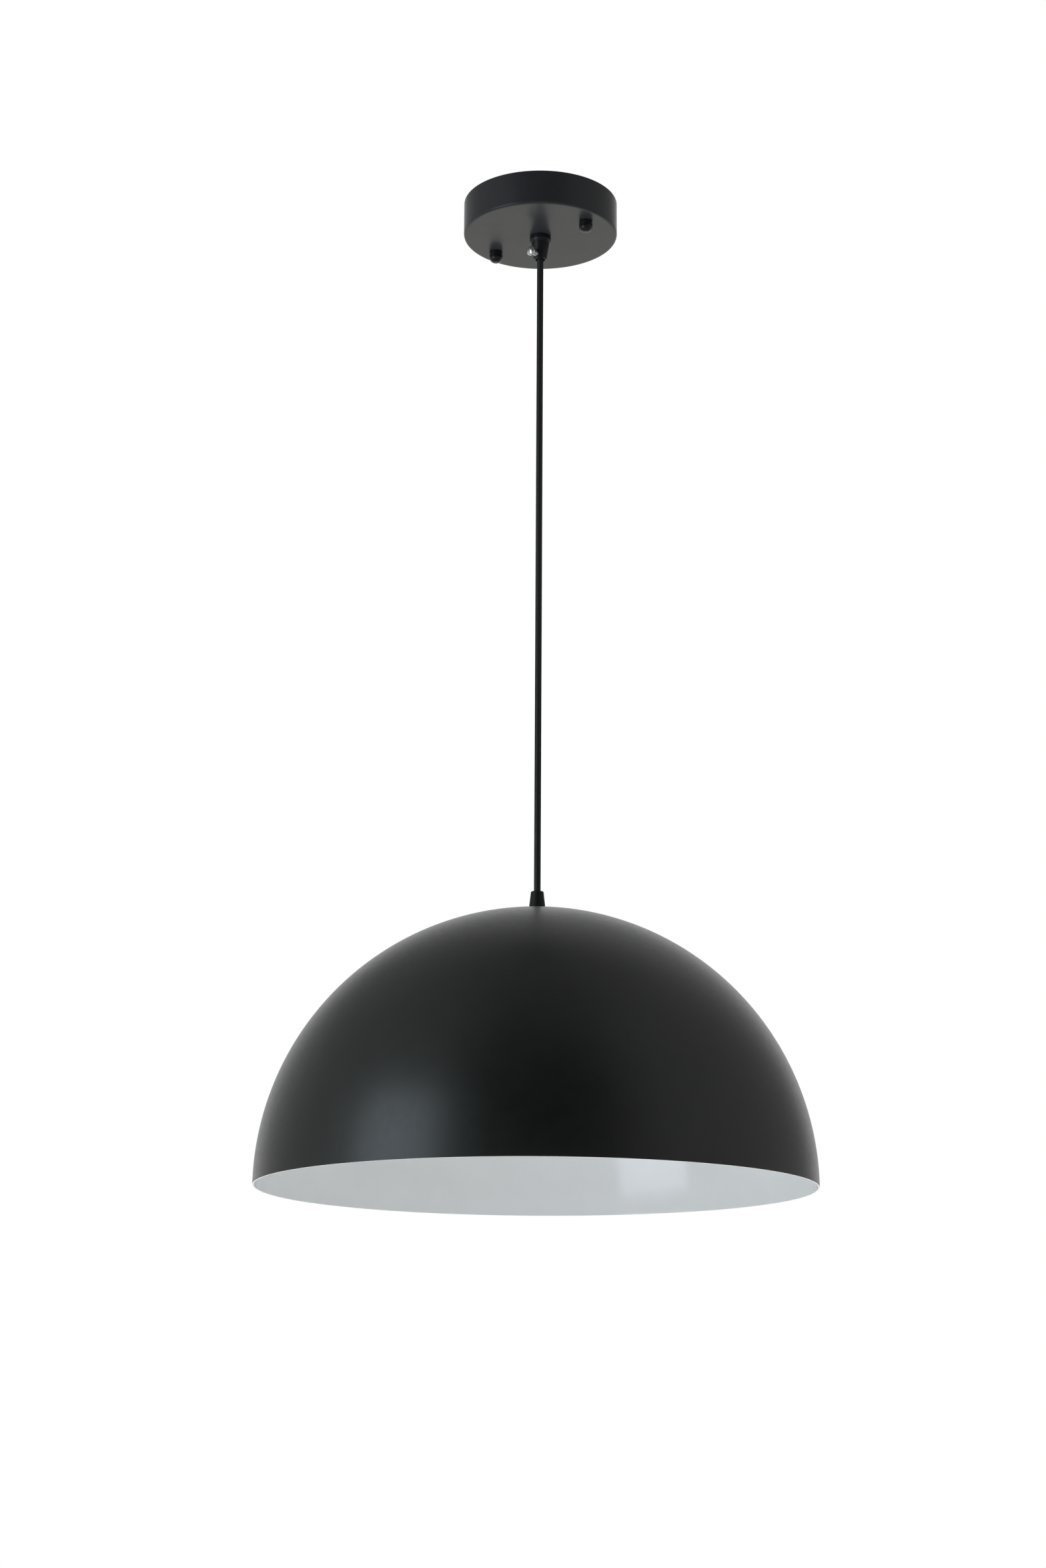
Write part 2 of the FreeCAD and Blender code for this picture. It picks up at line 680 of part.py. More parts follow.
def lead(label, route):
    """An insulated lead: straight runs joined by tangent arcs, as a swept tube."""
    spots = [FreeCAD.Vector(*(num(value) for value in spot)) for spot in route]
    radius = num("lead_diameter / 2")
    edges, at, length = [], spots[0], 0.0
    for before, corner, after in zip(spots, spots[1:], spots[2:]):
        come = (corner - before).normalize()
        leave = (after - corner).normalize()
        half_turn = come.getAngle(leave) / 2
        reach = ARC_SHARE * min((corner - before).Length, (after - corner).Length)
        bend = reach / math.tan(half_turn)
        entry = corner - come * reach
        exit_ = corner + leave * reach
        inward = (leave - come).normalize()
        middle = corner + inward * (bend / math.cos(half_turn) - bend)
        edges += [Part.LineSegment(at, entry).toShape(), Part.Arc(entry, middle, exit_).toShape()]
        length += (entry - at).Length + 2 * half_turn * bend
        print(f"{label}: bend radius {bend:.1f} mm")
        at = exit_
    edges.append(Part.LineSegment(at, spots[-1]).toShape())
    length += (spots[-1] - at).Length
    ring = Part.Wire(Part.makeCircle(radius, spots[0], spots[1] - spots[0]))
    swept = Part.Wire(edges).makePipeShell([ring], True, False)
    if abs(swept.Volume / (math.pi * radius**2 * length) - 1) > PIPE_ERROR:
        raise RuntimeError(f"{label} is not its section times its length")
    item = doc.addObject("Part::Feature", label)
    item.Shape = swept
    item.Placement = FreeCAD.Placement()
    return keep(item, label)


# ---------------------------------------------------------------- wiring in the canopy


def box(name, width, depth, height, x, y, z):
    """A box tied to expressions, centred on x, from y and z upwards."""
    item = doc.addObject("Part::Box", name)
    bind(item, Length=width, Width=depth, Height=height)
    return place(item, f"{x} - {width} / 2", y, z)


def along_y(name, radius, length, x, y, z):
    """A cylinder that runs along +Y from y."""
    item = doc.addObject("Part::Cylinder", name)
    bind(item, Radius=radius, Height=length)
    item.Placement = FreeCAD.Placement(
        FreeCAD.Vector(0, 0, 0), FreeCAD.Rotation(FreeCAD.Vector(1, 0, 0), -90)
    )
    return place(item, x, y, z)


def cut_from(name, base, tools):
    """A solid less one or more tools."""
    item = doc.addObject("Part::Cut", name)
    item.Base = base
    item.Tool = tools[0] if len(tools) == 1 else fused(f"{name}_tools", tools)
    return item


def make_terminal_block():
    """A three-pole block under the lug: moulding, brass inserts, wire screws, fixing screw."""
    block = box("block_blank", "block_length", "block_width", "block_depth", "0", BLOCK_NEAR,
                BLOCK_UNDER)
    screw = "(block_screw_diameter / 2)"
    tools, inserts, screws = [], [], []
    for pole in (-1, 0, 1):
        x = f"({pole} * block_pitch)"
        name = f"pole_{pole + 1}"
        tools.append(along_y(f"{name}_bore", "insert_diameter / 2 + running_gap",
                             "block_width + 2 * loose_gap", x, f"{BLOCK_NEAR} - loose_gap", POLE_Z))
        blank = along_y(f"{name}_blank", "insert_diameter / 2", "insert_length", x, INSERT_NEAR,
                        POLE_Z)
        drill = [along_y(f"{name}_wire_way", "insert_bore / 2", "insert_length + 2 * loose_gap", x,
                         f"{INSERT_NEAR} - loose_gap", POLE_Z)]
        for end, side in ((-1, "near"), (1, "far")):
            y = f"({BLOCK_MIDDLE} + {end} * insert_length / 4)"
            well = f"{name}_{side}_well"
            tools.append(cylinder(well, f"{screw} + loose_gap",
                                  f"{POLE_Z} - {BLOCK_UNDER} + loose_gap", x, y,
                                  f"{BLOCK_UNDER} - loose_gap"))
            drill.append(cylinder(f"{well}_thread", f"{screw} + running_gap",
                                  "insert_diameter / 2 + loose_gap", x, y,
                                  f"{POLE_Z} - insert_diameter / 2 - loose_gap"))
            tip = f"({POLE_Z} - lead_diameter / 2 - running_gap)"
            screws.append(cylinder(f"{well}_screw", screw, "block_screw_length", x, y,
                                   f"{tip} - block_screw_length"))
        inserts.append(cut_from(f"{name}_insert", blank, drill))
    tools.append(cylinder("fixing_way", f"{screw} + loose_gap", "block_depth + 2 * loose_gap",
                          FIXING_X, BLOCK_MIDDLE, f"{BLOCK_UNDER} - loose_gap"))
    keep(cut_from("block_moulding", block, tools), "terminal_block")
    group("block_inserts", inserts)
    group("block_screws", screws)
    shank = cylinder("fixing_shank", screw, "block_depth + strap_gauge", FIXING_X, BLOCK_MIDDLE,
                     BLOCK_UNDER)
    head = cylinder("fixing_head", "block_screw_diameter", "fixing_head_depth", FIXING_X,
                    BLOCK_MIDDLE, f"{BLOCK_UNDER} - fixing_head_depth")
    keep(fused("fixing_screw", [shank, head]), "block_fixing_screw")


def make_earth_terminal():
    """The earth screw under the strap and the ring terminal that it clamps."""
    x = "(-earth_screw_offset)"
    ring = cylinder("ring_disc", "ring_diameter / 2", "ring_gauge", x, "0", RING_UNDER)
    hole = cylinder("ring_hole", "stud_diameter / 2 + running_gap", "ring_gauge + 2 * loose_gap",
                    x, z=f"{RING_UNDER} - loose_gap")
    barrel = doc.addObject("Part::Cylinder", "ring_barrel")
    bind(barrel, Radius="barrel_diameter / 2", Height="barrel_length")
    turn = FreeCAD.Rotation(FreeCAD.Vector(0, 1, 0), 90)
    barrel.Placement = FreeCAD.Placement(FreeCAD.Vector(0, 0, 0), turn)
    place(barrel, f"{x} + ring_diameter / 2 - loose_gap", "0", BARREL_Z)
    bore = doc.addObject("Part::Cylinder", "barrel_bore")
    bind(bore, Radius="lead_diameter / 2 + running_gap", Height="barrel_length")
    bore.Placement = FreeCAD.Placement(FreeCAD.Vector(0, 0, 0), turn)
    place(bore, f"{x} + ring_diameter / 2 + loose_gap", "0", BARREL_Z)
    keep(cut_from("ring_cut", fused("ring_blank", [ring, barrel]), [hole, bore]), "earth_ring")
    shank = cylinder("earth_shank", "stud_diameter / 2", "strap_gauge + ring_gauge", x,
                     z=RING_UNDER)
    head = cylinder("earth_head", "earth_head_diameter / 2", "earth_head_depth", x, "0",
                    f"{RING_UNDER} - earth_head_depth")
    keep(fused("earth_screw_whole", [shank, head]), "earth_screw")


def lead_start(angle):
    """Where a lead leaves the jacket, at an angle on the circle of the three leads."""
    across = f"(lead_circle / 2 * {math.cos(math.radians(angle)):.4f})"
    along = f"(lead_circle / 2 * {math.sin(math.radians(angle)):.4f})"
    return across, along


LEADS = {"live": 150, "earth": 270, "neutral": 30}


def make_upper_leads():
    """From the jacket's end to the block's outer poles and to the earth ring."""
    for name, pole in (("live", -1), ("neutral", 1)):
        x, y = lead_start(LEADS[name])
        end_x = f"({pole} * block_pitch)"
        lead(f"lead_{name}_upper", [
            (x, y, JACKET_TOP),
            (x, y, POLE_Z),
            (end_x, f"{INSERT_NEAR} - lead_turn", POLE_Z),
            (end_x, f"{INSERT_NEAR} + insert_length / 2 - loose_gap", POLE_Z),
        ])
    x, y = lead_start(LEADS["earth"])
    entry = "(-earth_screw_offset + ring_diameter / 2 + loose_gap)"
    lead("lead_earth_upper", [
        (x, y, JACKET_TOP),
        (x, y, f"({JACKET_TOP} + {BARREL_Z}) / 2"),
        (f"({x} + {entry} + barrel_length) / 2", f"{y} / 2", BARREL_Z),
        (f"{entry} + barrel_length", "0", BARREL_Z),
        (entry, "0", BARREL_Z),
    ])


# ---------------------------------------------------------------- shade


def make_shade():
    """The spun hemisphere with its small flat crown and hole."""
    radius = SHADE_RADIUS
    inner = f"({radius} - shade_wall)"
    flat = "(shade_flat_diameter / 2)"
    ceiling = f"({SHADE_CEILING} + drop)"
    corners = [
        (inner, RIM),
        (radius, RIM),
        (flat, SHADE_TOP),
        (STEM_HOLE, SHADE_TOP),
        (STEM_HOLE, SHADE_CEILING),
        (f"sqrt({inner}^2 - {ceiling}^2)", SHADE_CEILING),
    ]
    turned_piece("shade", corners, {1: (radius, -1), 5: (inner, 1)})


def make_shade_fixings():
    """Tapered grip on top, nipple through the crown, washer and locknut inside."""
    tube_radius = "(stem_diameter / 2)"
    bore = f"({CORD_RADIUS} + running_gap)"
    base = "(shade_grip_base_diameter / 2)"
    grip = [
        (THREAD_HOLE, SHADE_TOP),
        (base, SHADE_TOP),
        (base, f"{SHADE_TOP} + shade_grip_foot"),
        ("shade_grip_top_diameter / 2", f"{SHADE_GRIP_TOP} - shade_grip_crown"),
        (bore, SHADE_GRIP_TOP),
        (bore, NIPPLE_TOP),
        (THREAD_HOLE, NIPPLE_TOP),
    ]
    turned_piece("shade_grip", grip)
    tube("shade_nipple", tube_radius, "nipple_bore / 2", NIPPLE_TOP, NIPPLE_END)
    tube("shade_washer", "shade_washer_diameter / 2", THREAD_HOLE, SHADE_CEILING, WASHER_UNDER)
    nut = hex_nut("shade_nut", "locknut_flats", "locknut_depth", THREAD_HOLE, z=HOLDER_TOP)
    keep(nut, "shade_locknut")


# ---------------------------------------------------------------- lampholder


def make_holder_cap():
    """The bell-shaped cap: a threaded boss, a flare and a straight skirt, one even wall."""
    wall = "holder_cap_wall"
    outer = "(holder_cap_diameter / 2)"
    boss = "(holder_boss_diameter / 2)"
    crown = f"({BOSS_UNDER} - {wall})"
    round_out = "holder_flare_height"
    corners = [
        (THREAD_HOLE, HOLDER_TOP),
        (THREAD_HOLE, crown),
        (f"{outer} - {round_out}", crown),
        (f"{outer} - {wall}", FLARE_UNDER),
        (f"{outer} - {wall}", CAP_UNDER),
        (outer, CAP_UNDER),
        (outer, FLARE_UNDER),
        (f"{outer} - {round_out}", BOSS_UNDER),
        (boss, BOSS_UNDER),
        (boss, HOLDER_TOP),
    ]
    arcs = {2: (f"{round_out} - {wall}", 1), 6: (round_out, -1)}
    turned_piece("lampholder_cap", corners, arcs)


def make_holder_body():
    """The lower shell: ribbed outside, with a seat for the core and a sleeve for the shell."""
    outer = "(holder_body_diameter / 2)"
    rib = f"({outer} + holder_rib)"
    seat = f"({CORE_UNDER} - shell_wall)"
    throat = "(shell_bore / 2 + shell_wall + loose_gap)"
    ledge = f"({SHELL_THREAD_TOP} - loose_gap)"
    room = f"({outer} - holder_body_wall)"
    corners = [
        (throat, HOLDER_MOUTH),
        (outer, HOLDER_MOUTH),
    ]
    for share in ("1 / 4", "1 / 2"):
        level = f"({HOLDER_MOUTH} + holder_body_length * {share})"
        corners += [(outer, level), (rib, f"{level} + holder_rib")]
        corners += [(rib, f"{level} + 2 * holder_rib"), (outer, f"{level} + 3 * holder_rib")]
    corners += [(outer, CAP_UNDER), (room, CAP_UNDER), (room, seat)]
    corners += [(f"{throat} + shell_neck_step", seat), (f"{throat} + shell_neck_step", ledge)]
    corners.append((throat, ledge))
    turned_piece("lampholder_body", corners)


def make_holder_core():
    """The ceramic core, seated below the cap, with a way through it for the tongue's rivet."""
    room = "(holder_body_diameter / 2 - holder_body_wall - running_gap)"
    body = doc.addObject("PartDesign::Body", "lampholder_core")
    corners = [("0", CORE_UNDER), (room, CORE_UNDER), (room, CAP_UNDER), ("0", CAP_UNDER)]
    spin(body, outline(body, "core_profile", "XZ_Plane", corners), "core_pressed")
    hole = [("0", "tongue_root + rivet_offset", "rivet_diameter / 2 + running_gap")]
    cut_sketch(body, disc_sketch(body, "rivet_hole", "XY_Plane", hole), "rivet_hole_cut")
    keep(body, "lampholder_core")


def make_contacts():
    """The brass screw shell with its neck and flange, the sprung tongue, its foot and rivet."""
    bore = "(shell_bore / 2)"
    outer = f"({bore} + shell_wall)"
    flange = f"({outer} + shell_neck_step + shell_flange)"
    corners = [
        (bore, f"{CORE_UNDER} - shell_length"),
        (outer, f"{CORE_UNDER} - shell_length"),
        (outer, SHELL_THREAD_TOP),
        (f"{outer} + shell_neck_step", SHELL_NECK_UNDER),
        (f"{outer} + shell_neck_step", f"{CORE_UNDER} - shell_wall"),
        (flange, f"{CORE_UNDER} - shell_wall"),
        (flange, CORE_UNDER),
        (f"{bore} + shell_neck_step", CORE_UNDER),
        (f"{bore} + shell_neck_step", SHELL_NECK_UNDER),
        (bore, SHELL_THREAD_TOP),
    ]
    turned_piece("screw_shell", corners)
    gauge = "tongue_gauge"
    foot_under = f"({CORE_UNDER} - {gauge})"
    foot = box("foot_strip", "tongue_width", "rivet_offset * 2 - loose_gap", gauge, "0",
               "tongue_root + loose_gap", foot_under)
    rivet_y = "tongue_root + rivet_offset"
    rivet = cylinder("foot_rivet", "rivet_diameter / 2", "core_depth + rivet_head_depth", "0",
                     rivet_y, CORE_UNDER)
    head = cylinder("rivet_head", "rivet_diameter", "rivet_head_depth", "0", rivet_y, CAP_UNDER)
    keep(fused("foot_whole", [foot, rivet, head]), "contact_foot")
    body = doc.addObject("PartDesign::Body", "contact_tongue")
    tip = "(tongue_root - tongue_length)"
    under = f"({CORE_UNDER} - {gauge} - tongue_dip)"
    level = f"({CORE_UNDER} - loose_gap)"
    side = [
        ("tongue_root", level),
        (f"{tip} + tongue_pad", f"{under} + {gauge}"),
        (tip, f"{under} + {gauge}"),
        (tip, under),
        (f"{tip} + tongue_pad", under),
        ("tongue_root", f"{level} - {gauge}"),
    ]
    pad_about(body, outline(body, "tongue_side", "YZ_Plane", side), "tongue_strip", "tongue_width")
    keep(body, "contact_tongue")


def make_terminals():
    """Three brass terminals on the core, their side screws and the leads that they hold."""
    posts, screws = [], []
    width, height = "terminal_width", "terminal_height"
    for name, angle in LEADS.items():
        cosine, sine = math.cos(math.radians(angle)), math.sin(math.radians(angle))
        x = f"(terminal_circle / 2 * {cosine:.4f})"
        y = f"(terminal_circle / 2 * {sine:.4f})"
        blank = cylinder(f"{name}_post", f"{width} / 2", height, x, y, CAP_UNDER)
        way = cylinder(f"{name}_way", "terminal_bore / 2", height, x, y,
                       f"{CAP_UNDER} + tongue_gauge")
        reach = f"(terminal_circle / 2 + {width} / 2 + terminal_screw_head)"
        turn = FreeCAD.Rotation(FreeCAD.Vector(0, 0, 1), angle).multiply(
            FreeCAD.Rotation(FreeCAD.Vector(0, 1, 0), 90)
        )
        start = "(terminal_circle / 2 + lead_diameter / 2 + running_gap)"
        level = f"({CAP_UNDER} + {height} / 2)"
        hole = doc.addObject("Part::Cylinder", f"{name}_side_hole")
        bind(hole, Radius="terminal_screw_diameter / 2 + running_gap", Height=f"{width} / 2")
        screw = doc.addObject("Part::Cylinder", f"{name}_side_screw")
        bind(screw, Radius="terminal_screw_diameter / 2", Height=f"{reach} - {start}")
        for item, at in ((hole, "(terminal_circle / 2)"), (screw, start)):
            item.Placement = FreeCAD.Placement(FreeCAD.Vector(0, 0, 0), turn)
            place(item, f"{at} * {cosine:.4f}", f"{at} * {sine:.4f}", level)
        posts.append(cut_from(f"{name}_terminal", blank, [way, hole]))
        screws.append(screw)
        begin_x, begin_y = lead_start(angle)
        run = f"({NIPPLE_END} - {CAP_UNDER} - {height})"
        lead(f"lead_{name}_lower", [
            (begin_x, begin_y, NIPPLE_END),
            (begin_x, begin_y, f"{NIPPLE_END} - {run} * {SPREAD_START}"),
            (x, y, f"{NIPPLE_END} - {run} * {SPREAD_END}"),
            (x, y, f"{CAP_UNDER} + tongue_gauge + loose_gap"),
        ])
    group("lampholder_terminals", posts)
    group("terminal_screws", screws)


# ---------------------------------------------------------------- the whole light

make_canopy()
make_strap()
make_studs()
make_cord_grip()
make_clamp()
make_cord()
make_terminal_block()
make_earth_terminal()
make_upper_leads()
make_shade()
make_shade_fixings()
make_holder_cap()
make_holder_body()
make_holder_core()
make_contacts()
make_terminals()
doc.recompute()

for item in doc.Objects:
    if {"Invalid", "Error"} & set(item.State):
        raise RuntimeError(f"{item.Label} did not build: {item.State}")
os.makedirs("parts", exist_ok=True)
for item in NODES:
    shape = item.Shape
    if shape.isNull() or not shape.isValid() or not shape.Solids:
        raise RuntimeError(f"{item.Label} has no sound solid")
    shape.exportStep(f"parts/{item.Label}.step")
    print(f"{item.Label}: {len(shape.Solids)} solid(s), {shape.Volume:.1f} mm3")
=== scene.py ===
"""A dome pendant light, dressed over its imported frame: canopy, cord, shade and lampholder."""

import logging
import math
from dataclasses import dataclass, field, replace
from enum import Enum
from functools import reduce
from typing import NamedTuple, Sequence

import bmesh
import bpy
from mathutils import Matrix, Vector


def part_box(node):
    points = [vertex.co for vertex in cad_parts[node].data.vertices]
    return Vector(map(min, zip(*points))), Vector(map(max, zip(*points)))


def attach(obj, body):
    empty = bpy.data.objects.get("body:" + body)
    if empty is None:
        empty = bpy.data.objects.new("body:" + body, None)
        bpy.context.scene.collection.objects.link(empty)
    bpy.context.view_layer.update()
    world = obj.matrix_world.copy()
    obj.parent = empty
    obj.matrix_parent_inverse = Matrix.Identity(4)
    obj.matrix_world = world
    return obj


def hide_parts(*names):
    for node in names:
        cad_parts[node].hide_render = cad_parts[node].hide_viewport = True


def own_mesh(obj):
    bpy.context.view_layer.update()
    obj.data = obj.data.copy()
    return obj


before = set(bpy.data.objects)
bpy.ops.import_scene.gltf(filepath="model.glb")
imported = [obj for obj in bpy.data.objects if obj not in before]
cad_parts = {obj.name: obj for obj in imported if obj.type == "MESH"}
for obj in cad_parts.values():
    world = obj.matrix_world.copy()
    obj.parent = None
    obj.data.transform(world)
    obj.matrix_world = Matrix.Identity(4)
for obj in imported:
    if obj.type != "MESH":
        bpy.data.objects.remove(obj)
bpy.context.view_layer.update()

LOG = logging.getLogger("pendant")
MM = 0.001
ON_AXIS = 0.0001 * MM
STEEPEST = 0.0001

# How far the usual edges are rounded, from a machined one to a moulded one.
HAIR, CRISP, DEBURRED = 0.1 * MM, 0.15 * MM, 0.2 * MM
EASED, SOFT, BLUNT = 0.3 * MM, 0.4 * MM, 0.5 * MM

Colour = Direction = tuple[float, float, float]
Pair = tuple[float, float]
Socket = bpy.types.NodeSocket
BMesh = bmesh.types.BMesh
BMVert = bmesh.types.BMVert
Piece = bpy.types.Object
Material = bpy.types.Material

WHITE: Colour = (1.0, 1.0, 1.0)


# ---- finishes


@dataclass(frozen=True)
class Fade:
    """A change from one level to another between two values, held at its ends."""

    low: float
    high: float
    start: float = 0.0
    end: float = 1.0
    smooth: bool = False


class Relief(Enum):
    """How the fine unevenness of a finish runs over the surface."""

    EVEN = "even"
    SPUN_DOME = "spun dome"
    TURNED = "turned"
    BRUSHED_X = "brushed along X"


class Graph:
    """A shader node tree with short ways to add and join nodes."""

    def __init__(self, owner: Material | bpy.types.World) -> None:
        """Starts from an empty tree.

        Args:
            owner: the material or the world to build for.
        """
        owner.use_nodes = True
        self.tree = owner.node_tree
        self.tree.nodes.clear()
        self.spot = self.add("TexCoord").outputs

    def add(self, kind: str, *inputs: object, **named: object) -> bpy.types.Node:
        """Adds a node and fills its inputs and properties.

        Args:
            kind: the node's type name, without the ShaderNode prefix.
            inputs: what goes into its first inputs, in order.
            named: properties by name, or inputs by their name with underscores for spaces.

        Returns:
            The new node.
        """
        node = self.tree.nodes.new(f"ShaderNode{kind}")
        filled = dict(enumerate(inputs))
        for name, value in named.items():
            if hasattr(node, name):
                setattr(node, name, value)
            else:
                filled[name.replace("_", " ")] = value
        for place, value in filled.items():
            if isinstance(value, Socket):
                self.tree.links.new(value, node.inputs[place])
            else:
                node.inputs[place].default_value = value
        return node

    def math(self, operation: str, *terms: object) -> Socket:
        """Does one sum on numbers or sockets."""
        return self.add("Math", *terms, operation=operation).outputs[0]

    def chain(self, operation: str, *terms: object) -> Socket:
        """Does the same sum on one term after another."""
        return reduce(lambda done, term: self.math(operation, done, term), terms)

    def ramp(self, value: Socket, fade: Fade) -> Socket:
        """Maps a value through a fade."""
        kind = "SMOOTHSTEP" if fade.smooth else "LINEAR"
        return self.add("MapRange", value, fade.low, fade.high, fade.start, fade.end,
                        interpolation_type=kind).outputs[0]

    def toward(self, way: Socket, direction: Vector) -> Socket:
        """How far a vector reaches along a direction."""
        return self.add("VectorMath", way, direction, operation="DOT_PRODUCT").outputs["Value"]

    def noise(self, size: float, detail: float = 2.0, spot: Socket | None = None) -> Socket:
        """Three-dimensional noise about 0.5 over the object, or over other coordinates."""
        spot = spot or self.spot["Object"]
        return self.add("TexNoise", Vector=spot, Scale=size, Detail=detail).outputs[0]

    def blend(self, choice: Socket, one: Sequence[float], other: Sequence[float]) -> Socket:
        """Blends two colours.

        Args:
            choice: 0 for the first colour up to 1 for the other.
            one: the first colour.
            other: the other colour.

        Returns:
            The colour socket.
        """
        node = self.add("Mix", choice, data_type="RGBA")
        for index, colour in ((6, one), (7, other)):
            node.inputs[index].default_value = (*colour, 1.0)
        return node.outputs[2]


@dataclass(frozen=True)
class Finish:
    """A surface finish: its colour, its gloss and the fine unevenness that its making leaves."""

    name: str
    colour: Colour
    roughness: float
    metallic: float = 0.0
    ior: float = 1.5
    tone: float = 0.08
    tone_size: float = 60.0
    spread: float = 0.05
    gloss_size: float = 220.0
    bump: float = 0.00001
    grain: float = 900.0
    line_bump: float = 0.0
    line_size: float = 1500.0
    relief: Relief = Relief.EVEN
    dome_share: float = 0.2
    drawn_out: float = 60.0
    round_drift: float = 20.0
    coat: float = 0.0
    coat_roughness: float = 0.1
    gleam: Colour = WHITE

    def material(self) -> Material:
        """Builds the node material once and hands it out again after that.

        Returns:
            The finish's material.
        """
        found = bpy.data.materials.get(self.name)
        if found:
            return found
        made = bpy.data.materials.new(self.name)
        graph = Graph(made)
        gloss = Fade(0.3, 0.7, self.roughness - self.spread, self.roughness + self.spread)
        shader = graph.add(
            "BsdfPrincipled", Metallic=self.metallic, IOR=self.ior, Coat_Weight=self.coat,
            Coat_Roughness=self.coat_roughness, Specular_Tint=(*self.gleam, 1.0),
            Base_Color=graph.blend(self.choice(graph), *self.tones()), Normal=self.height(graph),
            Roughness=graph.ramp(graph.noise(self.gloss_size), gloss))
        graph.add("OutputMaterial", shader.outputs[0])
        made.diffuse_color = (*self.colour, 1.0)
        return made

    def tones(self) -> list[Sequence[float]]:
        """The darker and the lighter tone of the colour."""
        ends = (1 - self.tone, 1 + self.tone)
        return [[min(part * end, 1.0) for part in self.colour] for end in ends]

    def choice(self, graph: Graph) -> Socket:
        """What chooses between the two tones: a slow variation over the object."""
        return graph.ramp(graph.noise(self.tone_size, 3.0), Fade(0.35, 0.65))

    def height(self, graph: Graph) -> Socket:
        """The bumps: an even skin and, where the piece was spun or brushed, fine lines.

        Args:
            graph: the tree to build in.

        Returns:
            The normal socket.
        """
        fine = graph.noise(self.grain, 1.0)
        skin = graph.add("Bump", Height=fine, Distance=self.bump).outputs[0]
        if self.relief is Relief.EVEN:
            return skin
        lines = graph.noise(1.0, 4.0, self.along(graph))
        return graph.add("Bump", Height=lines, Distance=self.line_bump, Normal=skin).outputs[0]

    def along(self, graph: Graph) -> Socket:
        """Stretched coordinates, close together across the lines and slow along them.

        Args:
            graph: the tree to build in.

        Returns:
            The coordinates for the line noise.
        """
        spot, fine, slow = graph.spot["Object"], self.line_size, self.line_size / self.drawn_out
        if self.relief is Relief.BRUSHED_X:
            return graph.add("Mapping", Vector=spot, Scale=Vector((slow, fine, fine))).outputs[0]
        x, y, z = graph.add("SeparateXYZ", spot).outputs
        squares = [graph.math("MULTIPLY", axis, axis) for axis in (x, y)]
        out = graph.math("SQRT", graph.math("ADD", *squares))
        if self.relief is Relief.SPUN_DOME:
            rise = graph.math("SUBTRACT", z, RIM_HEIGHT)
            across = graph.math("MULTIPLY", graph.math("ARCTAN2", rise, out), self.dome_share)
        else:
            across = graph.math("ADD", out, z)
        drift = slow / self.round_drift
        stretched = [graph.math("MULTIPLY", axis, size)
                     for axis, size in ((x, drift), (y, drift), (across, fine))]
        return graph.add("CombineXYZ", *stretched).outputs[0]


@dataclass(frozen=True)
class Braid(Finish):
    """Woven textile: two sets of yarns that cross, drawn over the cord's own unrolled surface."""

    yarns: int = 12
    repeat: float = 1.25 * MM
    gap_tone: float = 0.35
    mottle_size: float = 2600.0
    filaments: float = 6.0
    filament_size: float = 1.4

    def crossing(self, graph: Graph) -> list[Socket]:
        """How far round each of the two sets of yarns a point is, from the unrolled surface.

        Args:
            graph: the tree to build in.

        Returns:
            The two phases, in yarns.
        """
        flat = graph.add("SeparateXYZ", graph.add("UVMap", uv_map="unrolled").outputs[0]).outputs
        turn = graph.math("MULTIPLY", flat[0], float(self.yarns))
        run = graph.math("DIVIDE", flat[1], self.repeat)
        return [graph.math(operation, turn, run) for operation in ("ADD", "SUBTRACT")]

    def choice(self, graph: Graph) -> Socket:
        """Painted shade in the weave: yarns lighter on their crowns and darker in the gaps between
        them.

        Args:
            graph: the tree to build in.

        Returns:
            What chooses between the two tones.
        """
        # Painted shade: the product of the two yarn phases lightens the crowns and darkens the
        # gaps between yarns, with a random mottle added on top.
        turns = [graph.math("MULTIPLY", phase, math.pi) for phase in self.crossing(graph)]
        crown = graph.math("MULTIPLY", *(graph.math("SINE", turn) for turn in turns))
        gap_shade_and_mottle = graph.math("MULTIPLY_ADD", graph.noise(self.mottle_size, 3.0), self.gap_tone,
                             graph.math("ABSOLUTE", crown))
        return graph.ramp(gap_shade_and_mottle, Fade(0.1, 1.1))

    def height(self, graph: Graph) -> Socket:
        """Fine filaments that run along the yarns.

        Args:
            graph: the tree to build in.

        Returns:
            The normal socket.
        """
        strands = [graph.math("MULTIPLY", phase, self.filaments) for phase in self.crossing(graph)]
        fibre = graph.noise(self.filament_size, 2.0, graph.add("CombineXYZ", *strands).outputs[0])
        return graph.add("Bump", Height=fibre, Distance=self.bump).outputs[0]


@dataclass(frozen=True)
class StripedLead(Finish):
    """Green insulation with a yellow stripe along each side."""

    stripe: Colour = (0.75, 0.6, 0.03)
    stripe_edge: Fade = Fade(0.66, 0.72)

    def tones(self) -> list[Sequence[float]]:
        """The insulation's colour and its stripe's."""
        return [self.colour, self.stripe]

    def choice(self, graph: Graph) -> Socket:
        """Splits the two by which way the surface faces."""
        facing = graph.math("ABSOLUTE", graph.add("SeparateXYZ", graph.spot["Normal"]).outputs[0])
        return graph.ramp(facing, self.stripe_edge)


RIM_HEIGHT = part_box("shade")[0].z

